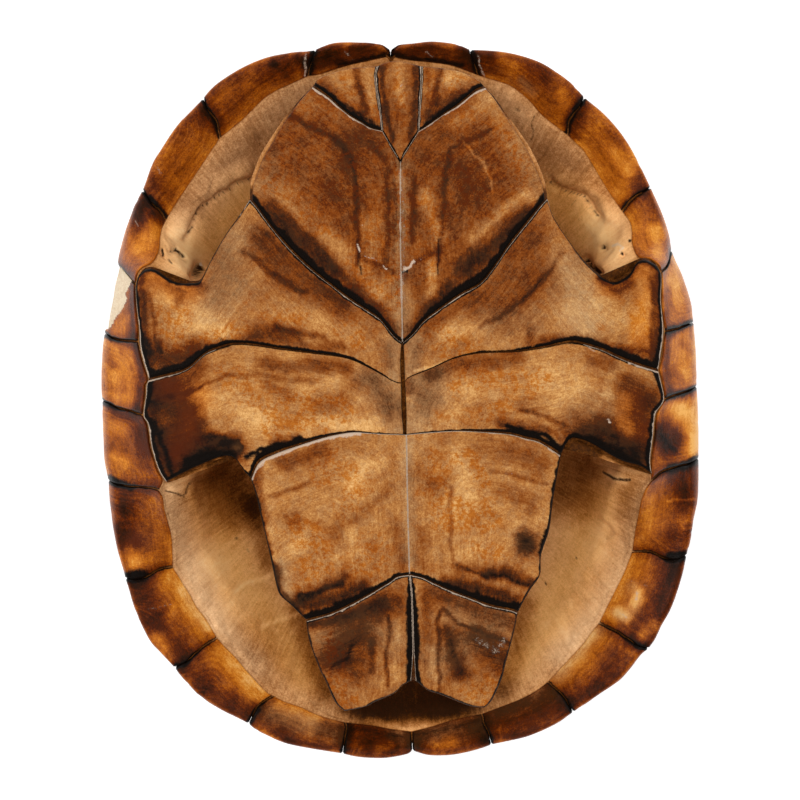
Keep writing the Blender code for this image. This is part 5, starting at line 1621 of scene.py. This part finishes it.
def add_marginals(finish):
    """The marginal scutes: rounded at their seams, and thinning to nothing where the free rim turns inwards.

    A scute is sunk by the largest of its rounded edges, plus a dip beside its seams and its growth ridges.
    """
    bends = seam_bends()
    for number, (side, rank) in enumerate(RIM_NAMES):
        face, place, across = marginal_plate(number, bends, None)
        start, inner, *ends = edge_distances(face)
        sides = np.minimum(*ends)
        spots = wander(to_grid(face), 2)
        under = (across > 0).astype(float)
        free = 1 - bridge(place)
        inwards = smooth(across * 4)
        sunk = (0.2 + 0.25 * inwards) * quarter(sides, RIM_ROUND)
        sunk = sunk + RIM_DIP * np.exp(-((sides / RIM_DIP_WIDTH) ** 2)) * inwards
        sunk = np.maximum(sunk, EDGE_DROP * quarter(start, EDGE_ROUND))
        thin = smooth(1 - inner / THINNING_WIDTH) * free * under
        sunk = np.maximum(sunk, THINNING * thin)
        sunk = np.maximum(sunk, EDGE_DROP * quarter(inner, 0.6) * (1 - free) * under)
        growth = soft_least(inner, ends[1] * 1.5, 6)
        ridges = cloud(growth, ends[0] * 0.1, RIM_RIDGE_SIZE, 9 + number, octaves=2) - 0.5
        sunk = sunk + RIM_RIDGE * np.clip(ridges, 0, None) * smooth(sides / 2) * (1 - thin)
        chip = np.zeros(sunk.shape)
        if (side, rank) == ("left", 5):
            chip = inside(wander(to_grid(face), 1), CHIP)
        sunk = np.where(chip > 0, np.maximum(sunk, CHIP_DEPTH), sunk)

        outer_tone, inner_tone = RIM_TONES[side][rank - 1]
        tone = outer_tone + (inner_tone - outer_tone) * smooth(across * 1.4 - 0.2)
        amounts = painted(spots, tone, RIM_STROKES[f"{side}_{rank}"], SEAM_MARKS)
        rough = 0.4 + 1.2 * cloud(spots[..., 0], spots[..., 1], 6, 12)
        band = (0.4 + 0.5 * (1 - across) ** 2) * rough
        amounts["black"] = np.maximum(amounts["black"], smooth(1.3 - sides / band))
        # Along the nose the tone is lightened and amber mixed in: a painted highlight on the rim's edge
        nose = smooth(1 - across * underside_width(place) / 1.3) * under
        bars = cloud(ends[0], 0.1 * inner, 5, 40 + number) - 0.5
        amounts["tone"] -= 0.25 * nose + 0.15 * smooth(1 - inner / 5) * free * under
        amounts["tone"] += 0.25 * smooth(1 - sides / 3) + 0.6 * bars * smooth(1.4 - 1.7 * across)
        amounts["amber"] = np.maximum(amounts["amber"], nose)
        top, _, _ = marginal_plate(number, bends, sunk)
        bottom, _, _ = marginal_plate(number, bends, np.maximum(HORN, sunk + 0.08))
        form = [growth, ends[0], chip]
        add_plate(f"marginal_{side}_{rank}_scute", top, bottom, amounts, form, finish)


# The carapace bone


def carapace_rows():
    """Rings of points of the bone: out along the dome, round the rim, over the lip, back along the bowl."""
    place = np.arange(RING_POINTS) * 24 / RING_POINTS
    even = np.ones(RING_POINTS)
    rows = [dome_point(place, run * even, depth * even) for run, depth in DOME_RUNS]
    width = underside_width(place)
    turns = (1 - np.cos(NOSE_TURNS[1:] * math.pi / 2))[:, None] * NOSE / width
    slopes = np.linspace(NOSE / width, even, SLOPE_ROWS + 1)[1:]
    rows += [underside_point(place, share, BONE_DEPTH * even) for share in np.vstack([turns, slopes])]
    edge = rows[-1]
    inward = CENTRE - edge[:, :2]
    inward = inward / np.linalg.norm(inward, axis=1, keepdims=True)
    for share, past, down in curve(LIP_CURVE, np.linspace(0, len(LIP_CURVE) - 1, LIP_ROWS + 1)[1:]):
        plan = edge[:, :2] + inward * (share * lip_width(place) + past)[:, None]
        rows.append(with_height(plan, edge[:, 2] - down))
    foot = rows[-1][:, :2] - CENTRE
    step = rows[-1][:, 2] - dome_heights(rows[-1][:, :2], BOWL_DEPTH)
    for share, left in curve(BOWL_CURVE, np.linspace(0, len(BOWL_CURVE) - 1, BOWL_ROWS + 1)[1:]):
        plan = CENTRE + foot * share
        rows.append(with_height(plan, dome_heights(plan, BOWL_DEPTH) + max(left, 0) * step))
    return np.stack(rows)


def add_carapace_bone(finish):
    """The bowl of bone, with its creases, wrinkles and knobs, closed by a middle point above and below.

    Its inner face is lifted along its normals by the strokes of relief, by wrinkles that run inwards and by a
    soft unevenness.
    """
    rows = carapace_rows()
    count, ring = rows.shape[:2]
    normal = np.cross(np.roll(rows, -1, axis=1) - np.roll(rows, 1, axis=1), np.gradient(rows, axis=0))
    normal = normal / np.maximum(np.linalg.norm(normal, axis=-1, keepdims=True), 1e-9)
    behind = np.arange(count)[:, None] - LIP_ROW
    place = np.arange(ring) * 24 / ring
    spots = wander(to_grid(rows), 2)
    lift = sum(height * brush(spots, line, width) for height, width, *line in BONE_RELIEF)
    wrinkles = cloud(place * 8 + 0 * behind, behind * 0.12, 1, 21) - 0.5
    lift += 0.9 * wrinkles * smooth(behind / 4) * smooth((34 - behind) / 10)
    lift += 0.6 * (cloud(rows[..., 0], rows[..., 1], 6, 22) - 0.5) * smooth(behind / 4)
    facing = np.sign(normal[LIP_ROW + 10, :, 2].mean())
    rows = rows + normal * (facing * lift * (behind >= 0))[..., None]
    points = np.vstack([rows.reshape(-1, 3), [*CENTRE, DOME_BONE_DEPTH], [*CENTRE, BOWL_DEPTH]])
    index = np.arange(count * ring).reshape(count, ring)
    index = np.column_stack([index, index[:, 0]])
    low, high = np.full(ring, len(points) - 2), np.full(ring, len(points) - 1)
    caps = [np.stack([low, index[0, :-1], index[0, 1:]], axis=1)]
    caps.append(np.stack([high, index[-1, 1:], index[-1, :-1]], axis=1))
    faces = grid_faces(index, True).tolist() + np.vstack(caps).tolist()
    amounts = painted(wander(to_grid(points), 2), BONE_TONE, BONE_STROKES)
    outside = np.concatenate([(behind < -1).repeat(ring, axis=1).reshape(-1), [True, False]])
    amounts["tone"] = np.where(outside, 0.7, amounts["tone"])
    offset = points[:, :2] - CENTRE
    reach = np.maximum(np.linalg.norm(offset, axis=1), 1.0)
    form = [offset[:, 0] / reach, offset[:, 1] / reach, points[:, 2]]
    add_piece("carapace_bone", points, faces, amounts, form, finish, "carapace")


# The dome's scutes


def ring_spot(place):
    """Plan points of the seam round the dome where the marginals start."""
    place = np.asarray(place, float)
    return dome_point(place, np.full(place.shape, RING), np.zeros(place.shape))[..., :2]


def ring_run(first, last):
    """That seam from one place to another."""
    return ring_spot(np.linspace(first, last, 30))


def dome_edges():
    """Name and four edge lines, in plan, of each scute under the dome."""
    mirror = np.array([-1.0, 1.0])
    for side, sign in (("left", -1.0), ("right", 1.0)):
        ends = [np.array([sign * x, y]) for x, y in ROW_ENDS]
        sides = [np.array([sign * x, y]) for x, y in ROW_SIDES]
        stops = [place if sign > 0 else 24.0 - place for place in RIM_STOPS]
        front_corner, rear_corner = stops[0] + sign * CORNER_PLACES, stops[4] - sign * CORNER_PLACES
        seams = [np.array([sides[i], ring_spot(stops[i + 1])]) for i in range(3)]
        fronts = [ring_run(stops[0], front_corner)] + seams
        rears = seams + [ring_run(stops[4], rear_corner)]
        inners = [np.array([ring_spot(stops[0]), ends[0], sides[0]])]
        inners += [np.array([sides[i], ends[i + 1], sides[i + 1]]) for i in (0, 1)]
        inners += [np.array([sides[2], ends[3], ring_spot(stops[4])])]
        outers = [ring_run(front_corner, stops[1]), ring_run(stops[1], stops[2])]
        outers += [ring_run(stops[2], stops[3]), ring_run(stops[3], rear_corner)]
        for i in range(4):
            yield f"costal_{side}_{i + 1}", (fronts[i], rears[i], inners[i], outers[i])
    rows = [np.array([np.array(end) * mirror, np.array(end)]) for end in ROW_ENDS]
    front = ring_run(-RIM_STOPS[0], RIM_STOPS[0])
    rear = ring_run(24 - RIM_STOPS[4], RIM_STOPS[4])
    left = np.array([front[0], rows[0][0]])
    right = np.array([front[-1], rows[0][-1]])
    yield "vertebral_1", (front, rows[0], left, right)
    for i, side in enumerate(ROW_SIDES):
        left = np.array([rows[i][0], np.array(side) * mirror, rows[i + 1][0]])
        right = np.array([rows[i][-1], np.array(side), rows[i + 1][-1]])
        yield f"vertebral_{i + 2}", (rows[i], rows[i + 1], left, right)
    yield "vertebral_5", (rows[3], rear, np.array([rows[3][0], rear[0]]), np.array([rows[3][-1], rear[-1]]))


def add_dome_scutes(finish):
    """The dome's scutes, each sunk by its rounded edge, a dip beside it and the growth rings round it."""
    for name, edges in dome_edges():
        plan, _, _ = opened(edges, [[DOME_GAP]] * 4, DOME_FINE)
        distances = edge_distances(plan)
        face = with_height(plan, dome_heights(plan, np.zeros(plan.shape[:2])))
        nearest = np.min(distances, axis=0)
        sunk = DOME_DROP * quarter(nearest, DOME_ROUND)
        sunk = sunk + DOME_DIP * np.exp(-((nearest / DOME_DIP_WIDTH) ** 2))
        growth = nearest + 1.2 * (cloud(plan[..., 0], plan[..., 1], 18, 31) - 0.5)
        if name != RESTING_SCUTE:
            ridges = cloud(growth, 0 * growth, DOME_RIDGE_SIZE, 33, octaves=2)
            sunk = sunk + DOME_RIDGE * ridges * smooth(nearest / 2)
        top = with_height(plan, face[..., 2] + sunk)
        bottom = with_height(plan, face[..., 2] + np.maximum(HORN, sunk + 0.2))
        amounts = painted(to_grid(face), 0.6 - 0.35 * smooth(nearest / 14))
        amounts["black"] = smooth(1 - nearest / 1.5)
        add_plate(f"{name}_scute", top, bottom, amounts, [growth, distances[0]], finish)


# Floor, lights and camera

# Name, place and size in metres, power, and whether the light shows in reflections
LIGHTS = [
    ("top_light", (0.0, 0.0, 1.5), 1.2, 18, False),
    ("left_light", (-1.0, 0.3, 0.85), 1.0, 3.4, True),
    ("right_light", (1.0, 0.3, 0.85), 1.0, 1.6, True),
    ("head_light", (0.0, 1.05, 0.85), 1.0, 2.2, True),
    ("tail_light", (0.0, -1.05, 0.85), 1.0, 1.8, True),
]
SKY_STRENGTH = 0.22


def add_floor():
    """A level square under the shell, three metres out each way."""
    half = 3.0
    mesh = bpy.data.meshes.new("floor")
    corners = [(-half, -half, 0), (half, -half, 0), (half, half, 0), (-half, half, 0)]
    mesh.from_pydata(corners, [], [(0, 1, 2, 3)])
    floor = bpy.data.objects.new("floor", mesh)
    floor.data.materials.append(floor_finish())
    bpy.context.scene.collection.objects.link(floor)


def add_light(name, place, size, power, glossy):
    """A square soft light that faces the shell's middle height."""
    light = bpy.data.lights.new(name, "AREA")
    light.shape = "SQUARE"
    light.size = size
    light.energy = power
    obj = bpy.data.objects.new(name, light)
    obj.location = place
    away = obj.location.copy()
    away.z -= 0.04
    obj.rotation_euler = away.to_track_quat("Z", "Y").to_euler()
    obj.visible_glossy = glossy
    bpy.context.scene.collection.objects.link(obj)


def add_world(strength):
    """A plain white sky that gives light but no reflection."""
    world = bpy.data.worlds.new("studio")
    world.use_nodes = True
    sky = world.node_tree.nodes["Background"]
    sky.inputs["Color"].default_value = paint(1, 1, 1)
    sky.inputs["Strength"].default_value = strength
    world.cycles_visibility.glossy = False
    bpy.context.scene.world = world


def add_camera():
    """A long lens straight above the shell, whose frame is the grid."""
    camera = bpy.data.cameras.new("camera")
    camera.sensor_width = 36.0
    frame_width = GRID_STEPS * GRID_STEP
    camera.lens = camera.sensor_width * (EYE_HEIGHT - GRID_HEIGHT) / frame_width
    obj = bpy.data.objects.new("camera", camera)
    obj.location = (0, 0, EYE_HEIGHT * MM)
    bpy.context.scene.collection.objects.link(obj)
    bpy.context.scene.camera = obj


# What adds each horn's scutes, then the horn's name, colours, unevenness, ash, roughness, shine and relief
HORNS = (
    (add_plastron_scutes, "plastron_horn", PLASTRON_COLOURS, 1.0, 0.35, 0.42, 0.1, 0.32),
    (add_marginals, "rim_horn", RIM_COLOURS, 1.2, 0.1, 0.32, 0.25, 0.22),
    (add_dome_scutes, "dome_horn", DOME_COLOURS, 0.8, 0.1, 0.5, 0.3, 0.3),
)


def build():
    """The finishes, the shell's pieces, then the floor, the lights and the camera."""
    bone = bone_finish()
    add_carapace_bone(bone)
    add_plastron_bone(bone)
    for add_scutes, *finish in HORNS:
        add_scutes(horn_finish(*finish))
    add_floor()
    add_world(SKY_STRENGTH)
    for light in LIGHTS:
        add_light(*light)
    add_camera()
    bpy.context.scene.view_settings.view_transform = "Standard"


build()
